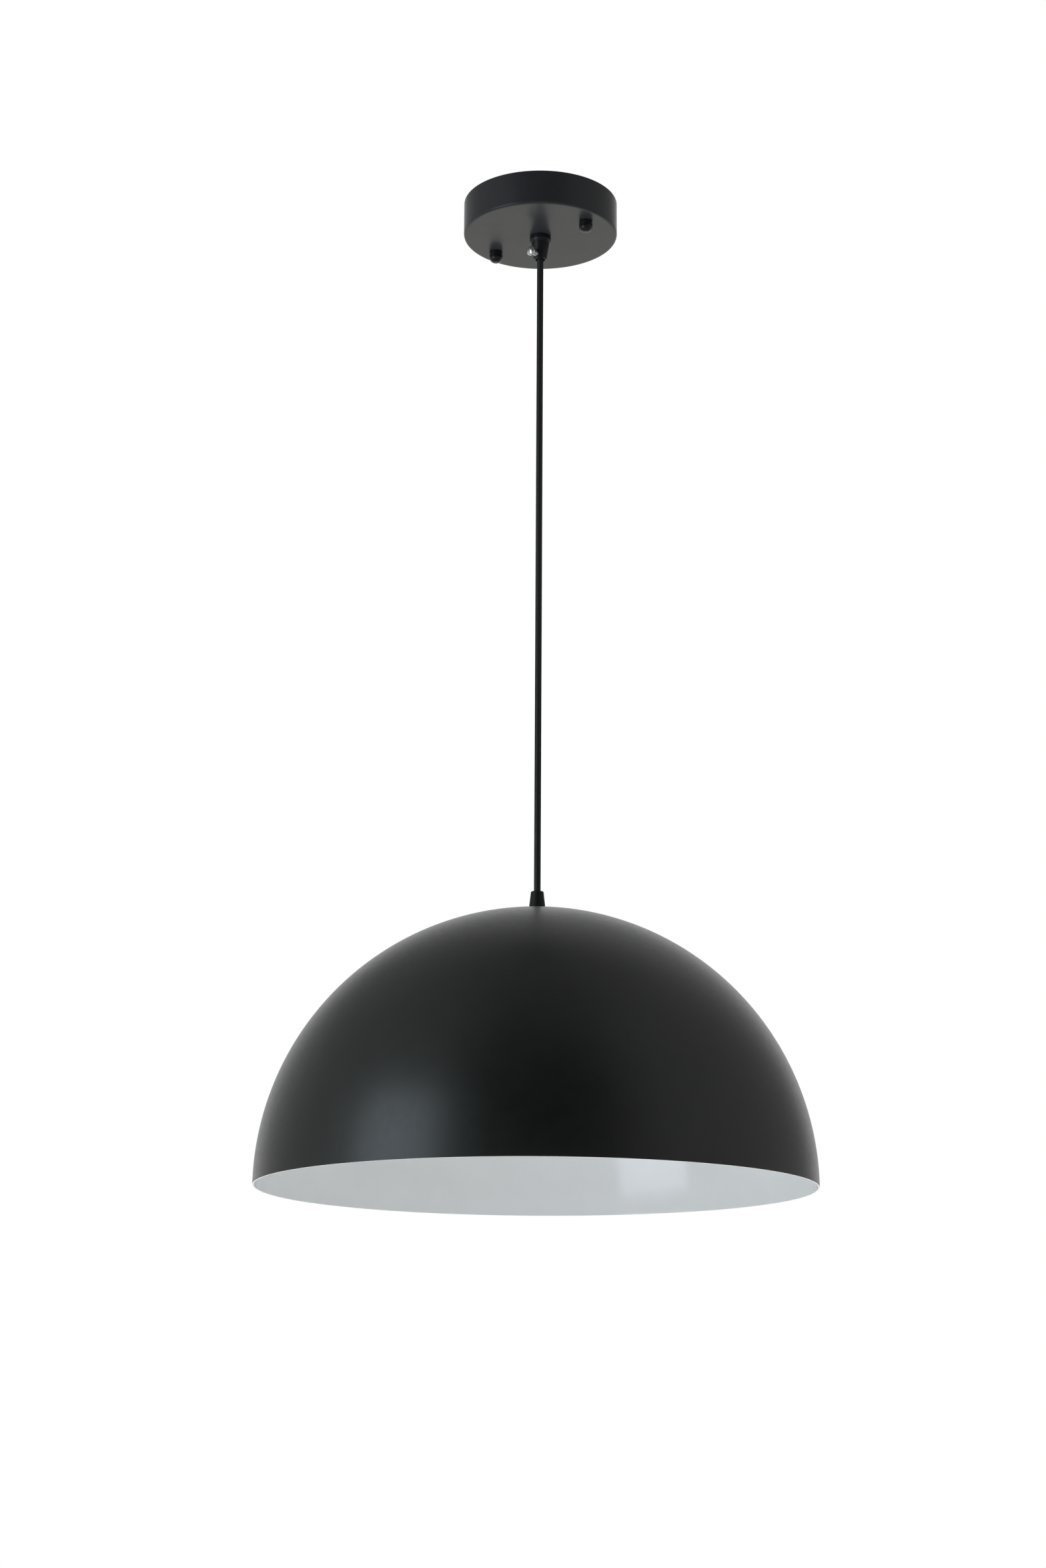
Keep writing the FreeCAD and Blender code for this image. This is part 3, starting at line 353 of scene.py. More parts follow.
PAINT = Finish("satin_black_paint", (0.0122, 0.0132, 0.0119), 0.36, ior=1.55, tone=0.1,
               spread=0.02, bump=5e-6, grain=700.0, line_bump=2.2e-6, line_size=900.0,
               relief=Relief.SPUN_DOME, gleam=(0.95, 1.0, 0.97), coat=0.15, coat_roughness=0.25)
FITTING_PAINT = Finish("satin_black_fitting_paint", (0.0135, 0.0145, 0.017), 0.36, ior=1.4,
                       tone=0.12, spread=0.04, bump=4e-6, grain=1400.0, line_bump=1.5e-6,
                       line_size=3000.0, relief=Relief.TURNED)
CANOPY_PAINT = replace(FITTING_PAINT, name="satin_grey_black_canopy_paint",
                       colour=(0.0375, 0.039, 0.0425), ior=1.28, tone=0.05, spread=0.015,
                       coat=0.2, coat_roughness=0.2)
BLACK_NUT = replace(FITTING_PAINT, name="black_cap_nut_plating", colour=(0.0105, 0.0115, 0.0135),
                    roughness=0.3, ior=1.45, bump=3e-6, grain=2600.0, line_size=5000.0)
ENAMEL = Finish("white_inner_enamel", (0.83, 0.85, 0.855), 0.14, ior=1.75, tone=0.008,
                spread=0.03, bump=6e-6, grain=420.0, line_bump=1.6e-5, line_size=700.0,
                relief=Relief.SPUN_DOME)
ZINC = Finish("zinc_plated_steel", (0.55, 0.56, 0.58), 0.34, metallic=1.0, tone=0.1,
              spread=0.08, bump=4e-6, grain=1800.0, line_bump=4e-6, line_size=6000.0,
              relief=Relief.BRUSHED_X)
NICKEL = Finish("bright_nickel_screw", (0.94, 0.94, 0.95), 0.12, metallic=0.86, tone=0.04,
                spread=0.04, bump=1.1e-4)
BRASS = Finish("plain_brass", (0.72, 0.53, 0.25), 0.32, metallic=1.0, tone=0.1, spread=0.08,
               bump=3e-6, grain=1600.0, line_bump=1e-6, line_size=4000.0, relief=Relief.TURNED)
NYLON = Finish("natural_nylon", (0.8, 0.79, 0.74), 0.42, tone=0.03, bump=8e-6)
HOLDER_PLASTIC = Finish("black_moulded_holder", (0.014, 0.014, 0.015), 0.33, tone=0.15,
                        bump=6e-6, grain=1500.0)
GRIP_PLASTIC = Finish("black_moulded_cord_grip", (0.0108, 0.011, 0.0098), 0.5, ior=1.42, tone=0.12,
                      bump=5e-6, grain=1800.0)
PORCELAIN = Finish("glazed_porcelain", (0.82, 0.81, 0.77), 0.22, tone=0.03, bump=1.2e-5,
                   grain=500.0, coat=0.4)
CLOTH = Braid("braided_black_textile", (0.0185, 0.02, 0.0195), 0.5, ior=1.45, tone=0.4,
              spread=0.08, bump=3e-5)
CLOTH_END = Finish("black_textile_end", (0.021, 0.0225, 0.022), 0.75, ior=1.38, tone=0.3,
                   tone_size=1500.0, bump=3e-5, grain=2600.0)
LEADS = {
    "live": Finish("brown_lead_insulation", (0.16, 0.07, 0.03), 0.38, tone=0.06, bump=6e-6),
    "neutral": Finish("blue_lead_insulation", (0.03, 0.12, 0.45), 0.38, tone=0.06, bump=6e-6),
    "earth": StripedLead("green_yellow_lead_insulation", (0.05, 0.3, 0.04), 0.38, bump=6e-6),
}


# ---- turned forms


class Corner(NamedTuple):
    """A corner of a half outline, with its rounding and what lies between it and the next one.

    finish numbers the material of that side, and thread is the depth of a screw thread on it.
    """

    radius: float
    height: float
    soft: float = 0.0
    finish: int = 0
    thread: float = 0.0


def arc(centre: Vector, radius: float, begin: float, end: float, steps: int,
        finish: int = 0) -> list[Corner]:
    """Points of an arc, with both its ends.

    Args:
        centre: its centre, as a radius and a height.
        radius: its own radius.
        begin: the angle where it begins, from level.
        end: the angle where it ends.
        steps: how many steps it takes.
        finish: the number of the surface's material.

    Returns:
        The points in order.
    """
    angles = [begin + (end - begin) * step / steps for step in range(steps + 1)]
    spots = [centre + radius * Vector((math.cos(angle), math.sin(angle))) for angle in angles]
    return [Corner(*spot, finish=finish) for spot in spots]


def bulge(start: Corner, end: Corner, radius: float, steps: int) -> list[Corner]:
    """Points of an arc that bulges away from the axis, after its start and with its end.

    Args:
        start: where the arc begins.
        end: where it ends.
        radius: its radius.
        steps: how many steps it takes.

    Returns:
        The points in order.
    """
    first, last = Vector(start[:2]), Vector(end[:2])
    chord = last - first
    side = Vector((-chord.y, chord.x)).normalized()
    if side.x > 0:
        side.negate()
    centre = (first + last) / 2 + side * math.sqrt(radius**2 - chord.length_squared / 4)
    begin = math.atan2(*(first - centre).yx)
    turn = (math.atan2(*(last - centre).yx) - begin + math.pi) % (2 * math.pi) - math.pi
    return arc(centre, radius, begin, begin + turn, steps)[1:]


@dataclass
class Turning:
    """A solid turned about an upright axis from a closed half outline."""

    name: str
    outline: Sequence[Corner | tuple[float, ...]]
    finishes: Sequence[Finish]
    sides: int = 96
    steps: int = 6
    pitch: float = 0.7 * MM
    rings_per_turn: int = 8
    longest_rounding: float = 0.48
    place: Pair = (0.0, 0.0)

    def rings(self) -> list[Corner]:
        """The outline's points, with rounded corners and with rings enough for any thread.

        Returns:
            The rings in order round the outline.
        """
        found: list[Corner] = []
        corners = [Corner(*corner) for corner in self.outline]
        for before, corner, after in zip(corners[-1:] + corners, corners, corners[1:] + corners):
            found += self.rounded(before, corner, after) if corner.soft else [corner]
            if corner.thread:
                found += self.thread_rings(corner, after)
        return found

    def rounded(self, before: Corner, corner: Corner, after: Corner) -> list[Corner]:
        """The points of a corner's rounding.

        Args:
            before: the corner before it.
            corner: the corner to round.
            after: the corner after it.

        Returns:
            The points in order.
        """
        here = Vector(corner[:2])
        back, ahead = Vector(before[:2]) - here, Vector(after[:2]) - here
        most = min(back.length, ahead.length) * self.longest_rounding
        reach = min(corner.soft / math.tan(back.angle(ahead) / 2), most)
        start, end = here + back.normalized() * reach, here + ahead.normalized() * reach
        points = []
        for step in range(self.steps + 1):
            share = step / self.steps
            spot = start * (1 - share) ** 2 + here * 2 * share * (1 - share) + end * share**2
            finish = before.finish if share < 0.5 else corner.finish
            points.append(Corner(spot.x, spot.y, finish=finish))
        return points

    def thread_rings(self, start: Corner, end: Corner) -> list[Corner]:
        """Close rings along a threaded side, whose thread fades out at both ends.

        Args:
            start: the side's first corner.
            end: its last corner.

        Returns:
            The rings between the two.
        """
        turns = abs(end.height - start.height) / self.pitch
        count = max(int(turns * self.rings_per_turn), 2)
        found = []
        for share in (step / count for step in range(1, count)):
            fade = min(share, 1 - share, 1 / turns) * turns
            spot = [one + (other - one) * share for one, other in zip(start[:2], end[:2])]
            found.append(Corner(*spot, 0.0, start.finish, start.thread * fade))
        return found

    def build(self) -> Piece:
        """Makes the mesh object.

        Returns:
            The new object, smooth, with its finishes.
        """
        rings = self.rings()
        mesh = bmesh.new()
        rows = [self.row(mesh, ring) for ring in rings]
        for ring, one, other in zip(rings, rows, rows[1:] + rows[:1]):
            band(mesh, one, other, ring.finish)
        bmesh.ops.recalc_face_normals(mesh, faces=mesh.faces)
        mesh.transform(Matrix.Translation((*self.place, 0.0)))
        return solid(self.name, mesh, self.finishes)

    def seat(self, body: str, slot: str, *nodes: str) -> None:
        """Makes the piece and settles it on its body."""
        settle(self.build(), body, slot, *nodes)

    def row(self, mesh: BMesh, ring: Corner) -> list[BMVert]:
        """The vertices of one ring, which are all one and the same on the axis.

        Args:
            mesh: the mesh to add to.
            ring: the ring's radius, height and thread depth.

        Returns:
            Its vertices in order round the axis.
        """
        if ring.radius < ON_AXIS:
            return [mesh.verts.new((0.0, 0.0, ring.height))] * self.sides
        phases = [(ring.height / self.pitch - side / self.sides) % 1 for side in range(self.sides)]
        radii = [ring.radius + ring.thread * (abs(2 * phase - 1) - 0.5) for phase in phases]
        return circle(mesh, radii, ring.height)


def circle(mesh: BMesh, radii: Sequence[float], height: float) -> list[BMVert]:
    """A ring of vertices round the axis, one for each radius."""
    turns = [(radius, 2 * math.pi * side / len(radii)) for side, radius in enumerate(radii)]
    return [mesh.verts.new((radius * math.cos(turn), radius * math.sin(turn), height))
            for radius, turn in turns]


def band(mesh: BMesh, one: list[BMVert], other: list[BMVert], finish: int = 0) -> None:
    """Faces between two rings, with triangles where one of them is a single vertex.

    Args:
        mesh: the mesh to add to.
        one: the first ring.
        other: the second ring.
        finish: the number of the faces' material.
    """
    for loop in zip(one, one[1:] + one[:1], other[1:] + other[:1], other):
        loop = tuple(dict.fromkeys(loop))
        if len(loop) > 2:
            mesh.faces.new(loop).material_index = finish


def hang(name: str, data: bpy.types.ID) -> Piece:
    """Puts a new object into the scene.

    Args:
        name: its name.
        data: its mesh, curve, lamp or camera.

    Returns:
        The new object.
    """
    made = bpy.data.objects.new(name, data)
    bpy.context.scene.collection.objects.link(made)
    return made


def smooth(data: bpy.types.Mesh, sharp: float) -> None:
    """Smooths a mesh, with edges above an angle in degrees left crisp."""
    data.shade_smooth()
    data.set_sharp_from_angle(angle=math.radians(sharp))


def solid(name: str, mesh: BMesh, finishes: Sequence[Finish], sharp: float = 40.0) -> Piece:
    """Turns a working mesh into a smooth object with its finishes.

    Args:
        name: the piece's name.
        mesh: the working mesh, which is freed.
        finishes: one finish for each material number.
        sharp: the angle in degrees above which an edge stays crisp.

    Returns:
        The new object.
    """
    data = bpy.data.meshes.new(name)
    mesh.to_mesh(data)
    mesh.free()
    for finish in finishes:
        data.materials.append(finish.material())
    smooth(data, sharp)
    return hang(name, data)


def settle(piece: Piece, body: str, slot: str, *nodes: str) -> None:
    """Puts a finished piece on its body, in place of its CAD nodes.

    Args:
        piece: the finished piece.
        body: the CAD body that it moves with.
        slot: the record's material slot; not used.
        nodes: the CAD nodes that it stands for.
    """
    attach(piece, body)
    if nodes:
        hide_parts(*nodes)
    LOG.info("%s: %d faces, rides on %s", piece.name, len(piece.data.polygons), body)


def dress(finish: Finish, *nodes: str) -> None:
    """Gives carried-over CAD nodes their finish and smooth curved faces.

    Args:
        finish: the finish to give.
        nodes: the CAD nodes by name.
    """
    for name in nodes:
        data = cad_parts[name].data
        data.materials.clear()
        data.materials.append(finish.material())
        smooth(data, 35.0)
        LOG.info("%s: dressed in %s", name, finish.name)


# ---- studio


@dataclass
class Studio:
    """The camera, the floor, the soft lamps and the pale room round the light.

    The room's fades go by how far a direction points or turns to the camera, or how far it rises.
    The edge and the crest are patches that lie left, away from the camera and up by their way.
    """

    lens: float = 63.56
    sensor: float = 36.0
    eye: Direction = (1.24741, -1.56261, -0.97767)
    azimuth: float = 38.6
    pitch: float = 0.24875
    yaw: float = -0.0055
    roll: float = 0.0061
    floor_height: float = -2.6
    floor_size: float = 60.0
    floor_mottle: Fade = Fade(0.3, 0.7, 0.84, 0.88)
    floor_mottle_size: float = 3.0
    floor_reflected_glow: Fade = Fade(-6.0, -0.5, 1.0, 0.2, True)
    floor_tint: Colour = (1.0, 1.0, 0.92)
    wall_front: Fade = Fade(0.98, 0.55, 0.0, 0.36, True)
    wall_back: Fade = Fade(0.3, -0.9, 1.0, 0.72)
    wall_fall: float = 2.5
    overhead: Fade = Fade(0.6, 1.0, 0.0, 0.17)
    behind: Fade = Fade(-0.7, -1.0, 0.0, 0.75, True)
    under: Fade = Fade(0.02, -0.2, 0.0, 0.6, True)
    shine: Fade = Fade(-0.65, -0.97)
    edge: Fade = Fade(0.92, 0.99, 0.0, 0.12, True)
    edge_way: Direction = (0.6, 0.75, 0.25)
    crest: Fade = Fade(0.8, 0.97, 0.0, 0.2, True)
    crest_way: Direction = (-0.14, 0.82, 0.55)
    key_colour: Colour = (0.77, 0.88, 1.0)
    key_size: Pair = (1.32, 2.14)
    key_level: float = 1.82
    key_side: float = -55.0
    key_rise: float = 1.8
    key_reach: float = 2.2
    lift_level: float = 1.26
    lift_size: Pair = (3.4, 3.4)
    lift_gap: float = 0.05
    aim_height: float = 0.08

    def place_camera(self) -> None:
        """Stands the camera below and in front of the light, looking slightly up."""
        camera = hang("view_camera", bpy.data.cameras.new("view_camera"))
        camera.data.lens = self.lens
        camera.data.sensor_width = self.sensor
        bpy.context.scene.camera = camera
        camera.matrix_world = Matrix.Translation(self.eye)
        around = math.radians(self.azimuth) - self.yaw
        for angle, axis in ((around, "Z"), (math.pi / 2 + self.pitch, "X"), (self.roll, "Z")):
            camera.matrix_world @= Matrix.Rotation(angle, 4, axis)
        LOG.info("camera at %s", self.eye)

    def toward_eye(self) -> Vector:
        """The level direction from the light to the camera."""
        return Vector((self.eye[0], self.eye[1], 0.0)).normalized()

    def build_room(self) -> None:
        """A white room to look at, whose reflection is dark in front and pale at the back."""
        world = bpy.data.worlds.new("pale_room")
        bpy.context.scene.world = world
        graph = Graph(world)
        way, front = graph.spot["Generated"], self.toward_eye()
        level = graph.toward(way, front)
        rise = graph.add("SeparateXYZ", way).outputs[2]
        steep = graph.math("MULTIPLY", rise, rise)
        flat = graph.math("MAXIMUM", graph.math("SUBTRACT", 1.0, steep), STEEPEST)
        turned = graph.math("DIVIDE", level, graph.math("SQRT", flat))
        fall = graph.math("SUBTRACT", 1.0, graph.math("POWER", steep, self.wall_fall))
        walls = graph.chain("MULTIPLY", graph.ramp(turned, self.wall_front), fall,
                            graph.ramp(turned, self.wall_back))
        patches = []
        for (left, back, up), spread in ((self.edge_way, self.edge), (self.crest_way, self.crest)):
            middle = Vector((front.y * left, -front.x * left, up)) - front * back
            patches.append(graph.ramp(graph.toward(way, middle.normalized()), spread))
        room = graph.chain("ADD", walls, graph.ramp(level, self.behind),
                           graph.ramp(rise, self.under), graph.ramp(rise, self.overhead), *patches)
        paths = graph.add("LightPath").outputs
        bright = graph.math("ADD", graph.ramp(level, self.shine), patches[1])
        bright, room = (graph.math("MINIMUM", light, 1.0) for light in (bright, room))
        mirrored = graph.math("MULTIPLY", paths["Is Glossy Ray"], bright)
        strength = graph.chain("MAXIMUM", room, mirrored, paths["Is Camera Ray"],
                               paths["Is Transmission Ray"])
        light = graph.add("Background", (*WHITE, 1.0), strength)
        graph.add("OutputWorld", light.outputs[0])
        LOG.info("room lit")

    def lay_floor(self) -> None:
        """A plain pale floor well below the light."""
        mesh = bmesh.new()
        bmesh.ops.create_grid(mesh, x_segments=8, y_segments=8, size=self.floor_size / 2)
        floor = solid("floor", mesh, [])
        floor.location.z = self.floor_height
        floor.data.materials.append(self.floor_material())
        LOG.info("floor laid at %.2f m", self.floor_height)

    def floor_material(self) -> Material:
        """Pale matt paint, seen as the white of the room and clear from underneath; in reflections
        it glows as painted light, brighter away from the camera.

        Returns:
            The floor's material.
        """
        made = bpy.data.materials.new("pale_floor")
        graph = Graph(made)
        mottle = graph.ramp(graph.noise(self.floor_mottle_size, 4.0), self.floor_mottle)
        matt = graph.add("BsdfDiffuse", mottle)
        level = graph.toward(graph.spot["Object"], self.toward_eye())
        # Painted light: in reflections the floor glows, strongly far behind the light and faintly
        # toward the camera, with a warm tint.
        mirrored = graph.ramp(level, self.floor_reflected_glow)
        paths = graph.add("LightPath").outputs
        glossy = paths["Is Glossy Ray"]
        seen = graph.math("MAXIMUM", paths["Is Camera Ray"], paths["Is Transmission Ray"])
        glow = graph.add("Emission", graph.blend(glossy, WHITE, self.floor_tint),
                         graph.math("MAXIMUM", seen, mirrored))
        face = graph.add("MixShader", graph.math("MAXIMUM", seen, glossy), matt.outputs[0],
                         glow.outputs[0])
        whole = graph.add("MixShader", graph.add("NewGeometry").outputs["Backfacing"],
                          face.outputs[0], graph.add("BsdfTransparent").outputs[0])
        graph.add("OutputMaterial", whole.outputs[0])
        return made

    def hang_lamps(self) -> None:
        """A tall soft box to the left of the camera and a wide soft panel under the light."""
        target = Vector((0.0, 0.0, RIM_HEIGHT + self.aim_height))
        side, rise = math.radians(self.key_side), math.radians(self.key_rise)
        way = Matrix.Rotation(side, 3, "Z") @ self.toward_eye() * math.cos(rise)
        way.z = math.sin(rise)
        low = Vector((0.0, 0.0, self.floor_height + self.lift_gap))
        for name, spot, size, level, colour, mirrored in (
            ("key_soft_box", target + way * self.key_reach, self.key_size, self.key_level,
             self.key_colour, True),
            ("lift_panel", low, self.lift_size, self.lift_level, WHITE, False)):
            lamp = hang(name, bpy.data.lights.new(name, "AREA"))
            lamp.data.shape = "RECTANGLE"
            lamp.data.size, lamp.data.size_y = size
            lamp.data.energy = level * math.pi * size[0] * size[1]
            lamp.data.color = colour
            lamp.location = spot
            lamp.rotation_euler = (target - spot).to_track_quat("-Z", "Y").to_euler()
            lamp.visible_camera, lamp.visible_glossy = False, mirrored
            LOG.info("%s hung at %.2f m", name, spot.z)

    def build(self) -> None:
        """Sets up everything round the light."""
        bpy.context.scene.view_settings.view_transform = "Standard"
        self.place_camera()
        self.build_room()
        self.lay_floor()
        self.hang_lamps()


# ---- cord


@dataclass
class HangingCord:
    """The braided cord from the canopy's grip down to the shade's grip."""

    diameter: float = 5.0 * MM
    pivot: float = -46.6 * MM
    neck_end: float = -56.6 * MM
    relief: float = 0.08 * MM
    yarn_level: float = 0.65
    over_under: float = 0.35
    mean_level: float = 0.75
    sides: int = 60
    rings_per_repeat: int = 5
    raised_most: float = 0.3
    inner_top: float = field(default_factory=lambda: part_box("cord_upper_end")[1].z)
    foot: float = field(default_factory=lambda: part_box("cord")[0].z)

    def route(self) -> list[Vector]:
        """The points of the cord's own spline, read from its curve.

        Returns:
            Points from the canopy's grip to the shade's grip.
        """
        data = bpy.data.curves.new("cord_route", "CURVE")
        data.dimensions = "3D"
        spline = data.splines.new("NURBS")
        spline.points.add(2)
        for point, height in zip(spline.points, (self.pivot, self.neck_end, self.foot)):
            point.co = (0.0, 0.0, height, 1.0)
        spline.order_u, spline.use_endpoint_u, spline.resolution_u = 3, True, 16
        guide = hang("cord_route", data)
        line = bpy.data.meshes.new_from_object(guide)
        points = sorted((vertex.co.copy() for vertex in line.vertices), key=lambda spot: -spot.z)
        bpy.data.objects.remove(guide)
        bpy.data.meshes.remove(line)
        return points

    def swell(self, turn: float, run: float) -> float:
        """How far the braid stands out at a place on the unrolled cord.

        Args:
            turn: the share of a turn round the cord.
            run: the length along the cord, in metres.

        Returns:
            The height of the yarns there, in metres, about zero.
        """
        phases = [turn * CLOTH.yarns + way * run / CLOTH.repeat for way in (1, -1)]
        over = self.over_under * math.prod(math.sin(math.pi * phase) for phase in phases)
        round_backs = [math.sqrt(1 - (2 * (phase % 1) - 1) ** 2) for phase in phases]
        levels = (self.yarn_level + over, self.yarn_level - over)
        highest = max(back * level for back, level in zip(round_backs, levels))
        return self.relief * (highest - self.mean_level)

    def tube(self) -> Piece:
        """The braided run, straight down the axis and closed at both ends.

        Returns:
            The new object, with its unrolled surface as UVs.
        """
        mesh = bmesh.new()
        unrolled = mesh.loops.layers.uv.new("unrolled")
        total = self.pivot - self.foot
        count = math.ceil(total / CLOTH.repeat * self.rings_per_repeat)
        rows = []
        for run in (total * step / count for step in range(count + 1)):
            fade = min(1.0, run / CLOTH.repeat, (total - run) / CLOTH.repeat)
            radii = [self.diameter / 2 + self.swell(side / self.sides, run) * fade
                     for side in range(self.sides)]
            rows.append((run, circle(mesh, radii, self.pivot - run)))
        for (run, row), (next_run, below) in zip(rows, rows[1:]):
            for side in range(self.sides):
                after = (side + 1) % self.sides
                face = mesh.faces.new((row[side], below[side], below[after], row[after]))
                turns = (side, side, side + 1, side + 1)
                for loop, turn, length in zip(face.loops, turns, (run, next_run, next_run, run)):
                    loop[unrolled].uv = (turn / self.sides, length)
        mesh.faces.new(rows[0][1])
        mesh.faces.new(rows[-1][1][::-1])
        return solid("hanging_cord", mesh, [CLOTH], sharp=60.0)

    def build(self) -> None:
        """Makes the hanging run and the part held in the grip."""
        points = self.route()
        hanging = self.tube()
        settle(hanging, "cord", "cord_cloth", "cord", "cord_neck", "cord_core_joint")
        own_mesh(hanging)
        dress(CLOTH_END, "cord_lower_end")
        # Inside the canopy's grip the cord's end is round, so that the run can swing from it.
        radius = self.diameter / 2 - HAIR
        corners = [(0.0, self.inner_top), (radius, self.inner_top, EASED)]
        corners += arc(Vector((0.0, self.pivot)), radius, 0.0, -math.pi / 2, 8)
        Turning("cord_in_grip", corners, [CLOTH_END], sides=48).seat(
            "canopy", "cord_cloth", "cord_upper_end")


# ---- canopy


@dataclass
class CapNut:
    """A domed cap nut with a turned ring, a shoulder and a small flat tip."""

    side: str
    radius: float = 5.2 * MM
    ring: float = 1.9 * MM
    shoulder: float = 5.3 * MM
    tip_radius: float = 1.6 * MM
    dome_radius: float = 4.2 * MM
    groove: float = 0.25 * MM
    soft: float = 0.05 * MM
    bore: float = 2.05 * MM
    bore_depth: float = 6.6 * MM

    def build(self) -> None:
        """Turns the nut on its stud."""
        name = f"cap_nut_{self.side}"
        low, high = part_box(name)
        middle, top = (low + high) / 2, high.z
        radius, groove, soft = self.radius, self.groove, self.soft
        ring, shoulder = top - self.ring, top - self.shoulder
        neck, tip = Corner(radius - groove, shoulder), Corner(self.tip_radius, low.z)
        Turning(f"{name}_turned", [
            (self.bore, top), (radius - groove, top, soft),
            (radius, top - groove, soft), (radius, ring + groove, soft),
            (radius - groove, ring), (radius, ring - groove, soft),
            (radius, shoulder + groove, soft), neck,
            *bulge(neck, tip, self.dome_radius, 16),
            (0.0, low.z), (0.0, top - self.bore_depth - self.bore / 2),
            (self.bore, top - self.bore_depth),
        ], [BLACK_NUT], place=(middle.x, middle.y)).seat(
            f"{self.side}_nut", "black_nut", name)


@dataclass
class ClampScrew:
    """The bright pan-head screw that presses the cord in its grip, with a cross recess."""

    head_radius: float = 3.8 * MM
    head_depth: float = 2.6 * MM
    head_edge: float = 0.35
    crown_radius: float = 5.2 * MM
    shank_radius: float = 1.95 * MM
    head_fillet: float = 0.35 * MM
    point: float = 0.35 * MM
    thread: float = 0.28 * MM
    recess_reach: float = 2.2 * MM
    recess_width: float = 0.95 * MM
    recess_depth: float = 1.5 * MM
    recess_mouth: float = 1.1
    recess_taper: float = 0.55

    def build(self) -> None:
        """Turns the screw, cuts its recess and lays it along -Y."""
        low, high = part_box("clamp_screw")
        length = high.y - low.y
        head = length - self.head_depth
        edge = Corner(self.head_radius, head + self.head_depth * self.head_edge)
        corners = [
            (0.0, 0.0), (self.shank_radius - EASED, 0.0),
            Corner(self.shank_radius, self.point, thread=self.thread),
            (self.shank_radius, head - DEBURRED), (self.shank_radius + CRISP, head),
            (self.head_radius, head, self.head_fillet), edge,
            *bulge(edge, Corner(0.0, length), self.crown_radius, 14),
        ]
        screw = Turning("clamp_screw_turned", corners, [NICKEL], sides=72).build()
        self.recess(screw, length)
        seat = Matrix.Translation((0.0, high.y, (low.z + high.z) / 2))
        screw.data.transform(seat @ Matrix.Rotation(math.pi / 2, 4, "X"))
        settle(screw, "clamp_screw", "bright_screw", "clamp_screw")

    def recess(self, screw: Piece, top: float) -> None:
        """Cuts the tapered cross into the screw's head.

        Args:
            screw: the turned screw, still upright.
            top: the height of its head's crown.
        """
        mesh = bmesh.new()
        half, reach = self.recess_width / 2, self.recess_reach
        plus = [(reach, -half), (reach, half), (half, half), (half, reach), (-half, reach),
                (-half, half)]
        plus += [(-x, -y) for x, y in plus]
        ends = ((top + BLUNT, self.recess_mouth), (top - self.recess_depth, self.recess_taper))
        mouth, floor = ([mesh.verts.new((x * share, y * share, height)) for x, y in plus]
                        for height, share in ends)
        band(mesh, mouth, floor)
        mesh.faces.new(mouth)
        mesh.faces.new(floor)
        bmesh.ops.recalc_face_normals(mesh, faces=mesh.faces)
        cutter = solid("recess_cutter", mesh, [NICKEL])
        cut = screw.modifiers.new("recess", "BOOLEAN")
        cut.operation = "DIFFERENCE"
        cut.solver = "EXACT"
        cut.object = cutter
        bpy.context.view_layer.update()
        whole = screw.evaluated_get(bpy.context.evaluated_depsgraph_get())
        finished = bpy.data.meshes.new_from_object(whole)
        screw.modifiers.clear()
        screw.data = finished
        smooth(finished, 30.0)
        bpy.data.objects.remove(cutter)


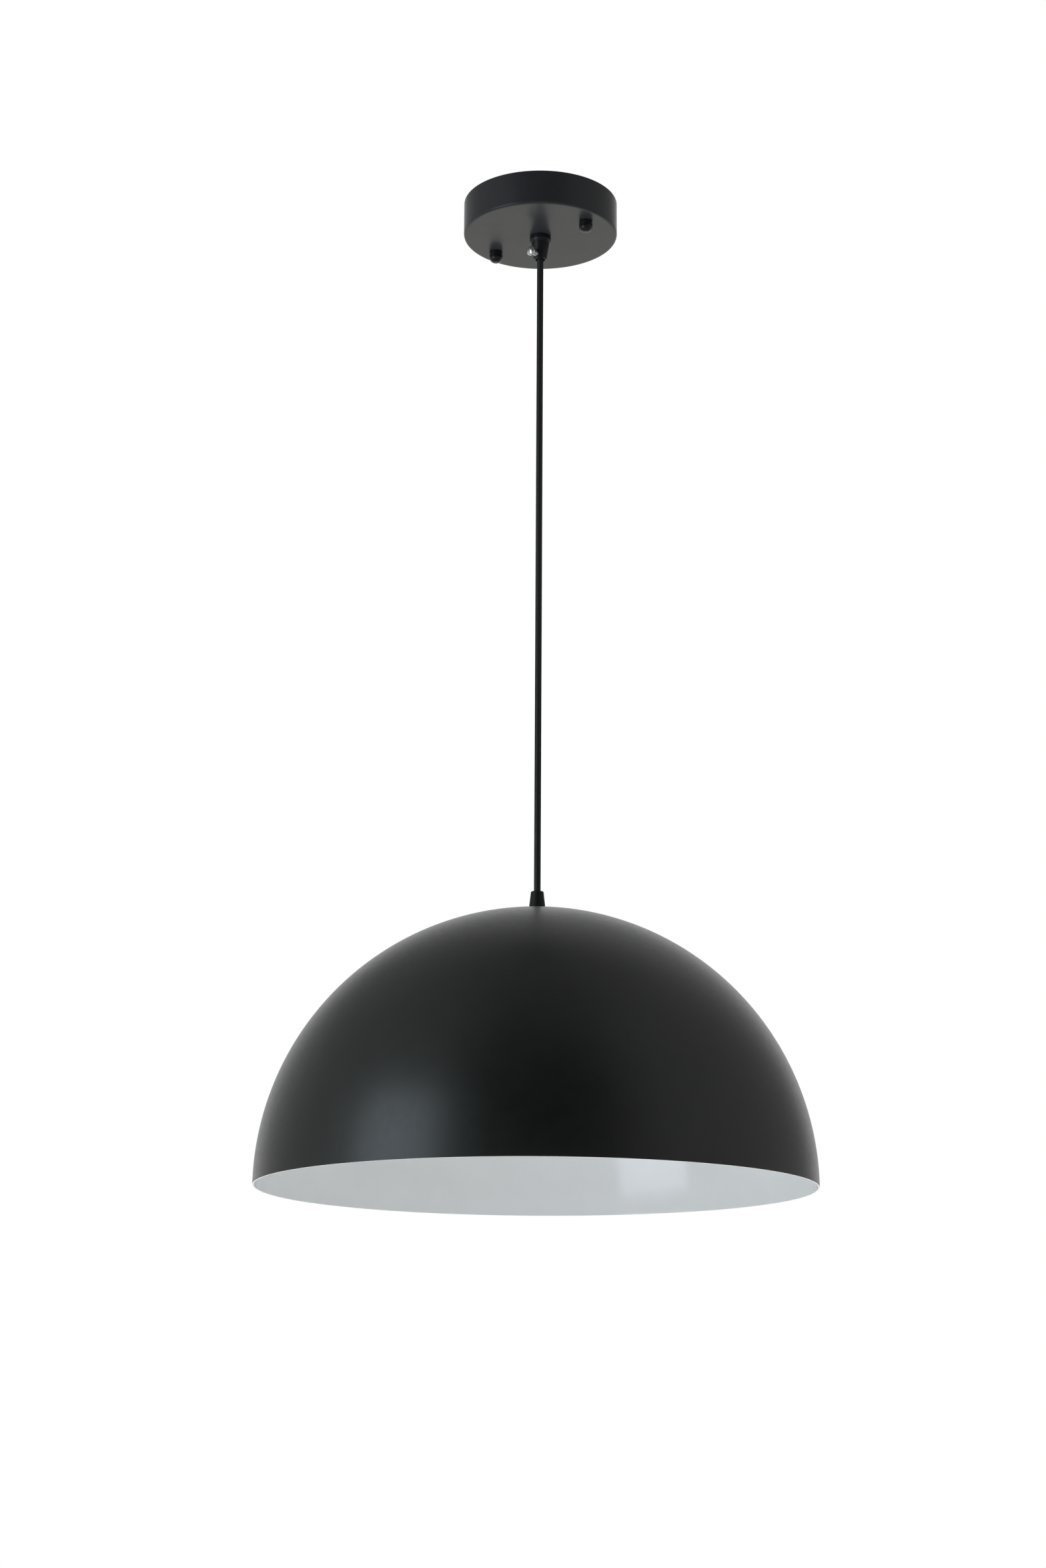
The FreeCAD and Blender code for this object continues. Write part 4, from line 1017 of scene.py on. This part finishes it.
@dataclass
class Canopy:
    """The ceiling cup with its strap, studs, cap nuts, wiring and the cord's grip."""

    wall: float = 1.0 * MM
    bend: float = 2.0 * MM
    stem_hole: float = 5.2 * MM
    stem_radius: float = 5.0 * MM
    stem_bore: float = 3.0 * MM
    stem_thread: float = 0.35 * MM
    stem_pitch: float = 1.0 * MM
    collar_radius: float = 8.25 * MM
    collar_wall: float = 3.3 * MM
    collar_depth: float = 5.5 * MM
    collar_foot: float = 7.3 * MM
    cone_radius: float = 7.0 * MM
    mouth_radius: float = 4.95 * MM
    mouth_bore: float = 3.55 * MM
    mouth_depth: float = 12.0 * MM
    mouth_edge: float = 0.25 * MM
    mouth_flare: float = 0.35 * MM
    stud_radius: float = 2.0 * MM
    stud_crown: float = 2.2 * MM
    stud_head: float = 3.7 * MM
    stud_head_depth: float = 2.4 * MM
    stud_neck: float = 1.5 * MM
    stud_rounds: Pair = (0.8 * MM, 0.9 * MM)

    def build_cup(self) -> None:
        """The drawn cup with its rounded lower edge."""
        low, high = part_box("canopy")
        outer, inner = high.x, high.x - self.wall
        Turning("canopy_cup", [
            (self.stem_hole, low.z), (outer - 2 * self.bend, low.z),
            (outer, low.z, self.bend), (outer, low.z + 2 * self.bend),
            (outer, high.z, EASED), (inner, high.z, EASED),
            (inner, low.z + self.wall, self.bend - self.wall), (self.stem_hole, low.z + self.wall),
        ], [CANOPY_PAINT], sides=160, steps=10).seat("canopy", "black_paint", "canopy")

    def build_grip(self) -> None:
        """The tapered collar, the cone and the threaded stem through the cup."""
        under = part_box("canopy")[0].z
        low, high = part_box("cord_grip")
        mouth, foot = low.z, under - self.collar_depth
        Turning("cord_grip_turned", [
            (self.stem_bore, high.z),
            Corner(self.stem_radius, high.z, SOFT, thread=self.stem_thread),
            (self.stem_radius, under), (self.collar_radius, under, CRISP),
            (self.collar_radius, under - self.collar_wall, BLUNT),
            (self.collar_foot, foot + CRISP, DEBURRED), (self.cone_radius, foot, HAIR),
            (self.mouth_radius, mouth + HAIR, self.mouth_edge),
            (self.mouth_bore + self.mouth_flare, mouth, CRISP),
            (self.mouth_bore, mouth + BLUNT, DEBURRED),
            (self.mouth_bore, mouth + self.mouth_depth, EASED),
            (self.stem_bore, mouth + self.mouth_depth + BLUNT, EASED),
        ], [FITTING_PAINT], pitch=self.stem_pitch).seat("canopy", "black_paint", "cord_grip")

    def build_studs(self) -> None:
        """The headed studs with their threads."""
        low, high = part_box("canopy_studs")
        reach = (high.x - low.x) / 2 - self.stud_head
        head_under = high.z - self.stud_head_depth
        crown, shoulder = self.stud_rounds
        corners = [
            (0.0, high.z), (self.stud_crown, high.z, crown),
            (self.stud_head, high.z - self.stud_head_depth / 2, shoulder),
            (self.stud_head, head_under, DEBURRED), (self.stud_radius, head_under),
            Corner(self.stud_radius, head_under - self.stud_neck, thread=EASED),
            (self.stud_radius, low.z + BLUNT), (self.stud_radius - BLUNT, low.z), (0.0, low.z),
        ]
        for name, side in (("left", -1), ("right", 1)):
            stud = Turning(f"stud_{name}_threaded", corners, [ZINC], 48, place=(side * reach, 0.0))
            stud.seat("canopy", "zinc_steel", "canopy_studs")

    def build(self) -> None:
        """Makes the cup, the grip and what hangs them, and dresses the rest."""
        self.build_cup()
        self.build_grip()
        self.build_studs()
        CapNut("left").build()
        CapNut("right").build()
        ClampScrew().build()
        dress(FITTING_PAINT, "cap_washer_left", "cap_washer_right")
        dress(ZINC, "mounting_strap", "stud_jam_nuts", "grip_washer", "grip_locknut")
        dress(NICKEL, "block_screws", "block_fixing_screw", "earth_screw")
        dress(BRASS, "block_inserts", "earth_ring")
        dress(NYLON, "terminal_block", "clamp_pad")
        dress_leads("upper")


def dress_leads(end: str) -> None:
    """Gives the live, neutral and earth leads at one end of the cord their colours."""
    for name, finish in LEADS.items():
        dress(finish, f"lead_{name}_{end}")


# ---- shade


@dataclass
class Shade:
    """The spun dome, black outside and white inside, with its tapered grip and fixings."""

    wall: float = 1.0 * MM
    flat_radius: float = 14.0 * MM
    hole_radius: float = 5.2 * MM
    edge: float = 0.35 * MM
    arc_steps: int = 110
    grip_base: float = 6.5 * MM
    grip_top: float = 4.75 * MM
    grip_foot: float = 0.8 * MM
    grip_step: float = 0.12 * MM
    grip_crown: float = 0.9 * MM
    grip_lift: float = 1.4 * MM
    grip_bore: float = 2.6 * MM
    grip_socket: float = 5.0 * MM

    def build_dome(self) -> None:
        """The wall: black paint outside, white enamel inside and over the rim's edge."""
        low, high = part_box("shade")
        radius, rim, top = high.x, low.z, high.z
        inner, ceiling = radius - self.wall, top - self.wall
        inner_flat = math.sqrt(inner**2 - (ceiling - rim) ** 2)
        middle, steps = Vector((0.0, rim)), self.arc_steps
        outside = arc(middle, radius, math.acos(self.flat_radius / radius), 0.0, steps)[:-1]
        inside = arc(middle, inner, 0.0, math.acos(inner_flat / inner), steps, 1)[1:]
        Turning("shade_dome", [
            (self.hole_radius, top), *outside, (radius, rim, self.edge, 1),
            (inner, rim, self.edge, 1), *inside, Corner(self.hole_radius, ceiling, finish=1),
        ], [PAINT, ENAMEL], sides=288).seat("shade", "black_paint", "shade")

    def build_grip(self) -> None:
        """The tapered grip that stands on the crown."""
        low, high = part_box("shade_grip")
        foot, top = low.z + self.grip_foot, high.z + self.grip_lift
        stem, socket = self.hole_radius - CRISP, low.z + self.grip_socket
        Turning("shade_grip_turned", [
            (stem, low.z), (self.grip_base, low.z, CRISP), (self.grip_base, foot, DEBURRED),
            (self.grip_base - self.grip_step, foot, HAIR),
            (self.grip_top, top - self.grip_crown, EASED), (self.grip_bore, top, CRISP),
            (self.grip_bore, socket), (stem, socket),
        ], [GRIP_PLASTIC]).seat("shade", "black_paint", "shade_grip")

    def build(self) -> None:
        """Makes the dome and the grip and dresses the fixings."""
        self.build_dome()
        self.build_grip()
        dress(ZINC, "shade_nipple", "shade_washer", "shade_locknut")


# ---- lampholder


@dataclass
class Lampholder:
    """The lampholder under the crown: bell cap, ribbed shell, core, contacts and terminals."""

    cap_wall: float = 2.0 * MM
    boss_radius: float = 8.0 * MM
    boss_depth: float = 7.0 * MM
    boss_edge: float = 0.6 * MM
    boss_fillet: float = 1.2 * MM
    thread_hole: float = 5.05 * MM
    flare_run: float = 12.0 * MM
    inner_rounds: Pair = (4.0 * MM, 1.0 * MM)
    skirt: float = 1.2 * MM
    skirt_step: float = 0.4 * MM
    body_wall: float = 2.2 * MM
    body_mouth: float = 0.9 * MM
    rib: float = 1.0 * MM
    rib_places: Pair = (0.25, 0.5)
    shell_wall: float = 0.5 * MM
    shell_bore: float = 13.2 * MM
    shell_neck: float = 4.0 * MM
    neck_step: float = 0.6 * MM
    core_ledge: float = 4.8 * MM
    lamp_pitch: float = 3.63 * MM
    thread_depth: float = 0.8 * MM

    def build_cap(self) -> None:
        """The bell-shaped cap with its boss, its flare and the step at its skirt."""
        low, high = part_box("lampholder_cap")
        outer, wall, run = high.x, self.cap_wall, self.flare_run
        boss_under = high.z - self.boss_depth
        flare_under, (wide, tight) = boss_under - run, self.inner_rounds
        Turning("lampholder_cap_moulded", [
            (self.thread_hole, high.z), (self.boss_radius, high.z, self.boss_edge),
            (self.boss_radius, boss_under, self.boss_fillet),
            *arc(Vector((outer - run, flare_under)), run, math.pi / 2, 0.0, 12),
            (outer, low.z + self.skirt + self.skirt_step, EASED),
            (outer - self.skirt_step, low.z + self.skirt, DEBURRED),
            (outer - self.skirt_step, low.z, EASED), (outer - wall, low.z, EASED),
            (outer - wall, flare_under, wide), (outer - run, boss_under - wall, tight),
            (self.thread_hole, boss_under - wall),
        ], [HOLDER_PLASTIC]).seat("shade", "black_plastic", "lampholder_cap")

    def build_body(self) -> None:
        """The lower shell with its ribs, the seat for the core and its rounded mouth."""
        low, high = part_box("lampholder_body")
        rib, rib_outer = self.rib, high.x
        outer, inner = rib_outer - rib, rib_outer - rib - self.body_wall
        throat = self.shell_bore + self.shell_wall + DEBURRED
        neck = throat + self.neck_step
        core_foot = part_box("lampholder_core")[0].z
        seat, ledge = core_foot - self.shell_wall, core_foot - self.core_ledge
        corners = [(throat, low.z, BLUNT), (outer, low.z, self.body_mouth)]
        for share in self.rib_places:
            level = low.z + (high.z - low.z) * share
            corners += [
                (outer, level, SOFT), (rib_outer, level + rib, BLUNT),
                (rib_outer, level + 2 * rib, BLUNT), (outer, level + 3 * rib, SOFT),
            ]
        corners += [
            (outer, high.z, EASED), (inner, high.z, EASED), (inner, seat), (neck, seat),
            (neck, ledge), (throat, ledge, DEBURRED),
        ]
        Turning("lampholder_body_moulded", corners, [HOLDER_PLASTIC]).seat(
            "shade", "black_plastic", "lampholder_body")

    def build_shell(self) -> None:
        """The brass shell with its rolled lamp thread."""
        low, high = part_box("screw_shell")
        flange_under, neck_under = high.z - self.shell_wall, high.z - self.shell_neck
        thread_top, neck = neck_under - self.neck_step, self.shell_bore + self.neck_step
        inside = self.shell_bore - HAIR - self.shell_wall / 2
        outside = inside + self.shell_wall
        Turning("screw_shell_rolled", [
            (inside, low.z, HAIR), Corner(outside, low.z, HAIR, thread=self.thread_depth),
            (outside, thread_top), (neck + self.shell_wall, neck_under, DEBURRED),
            (neck + self.shell_wall, flange_under), (high.x, flange_under, CRISP),
            (high.x, high.z, CRISP), (neck, high.z, EASED), (neck, neck_under, DEBURRED),
            Corner(inside, thread_top, thread=self.thread_depth),
        ], [BRASS], pitch=self.lamp_pitch).seat("shade", "brass", "screw_shell")

    def build(self) -> None:
        """Makes the moulded and rolled pieces and dresses the rest."""
        self.build_cap()
        self.build_body()
        self.build_shell()
        dress(PORCELAIN, "lampholder_core")
        dress(BRASS, "contact_foot", "contact_tongue", "lampholder_terminals")
        dress(NICKEL, "terminal_screws")
        dress_leads("lower")


def main() -> None:
    """Builds the studio and the light, piece by piece."""
    logging.basicConfig(level=logging.INFO, format="%(name)s: %(message)s")
    Studio().build()
    HangingCord().build()
    Canopy().build()
    Shade().build()
    Lampholder().build()


if __name__ == "__main__":
    main()
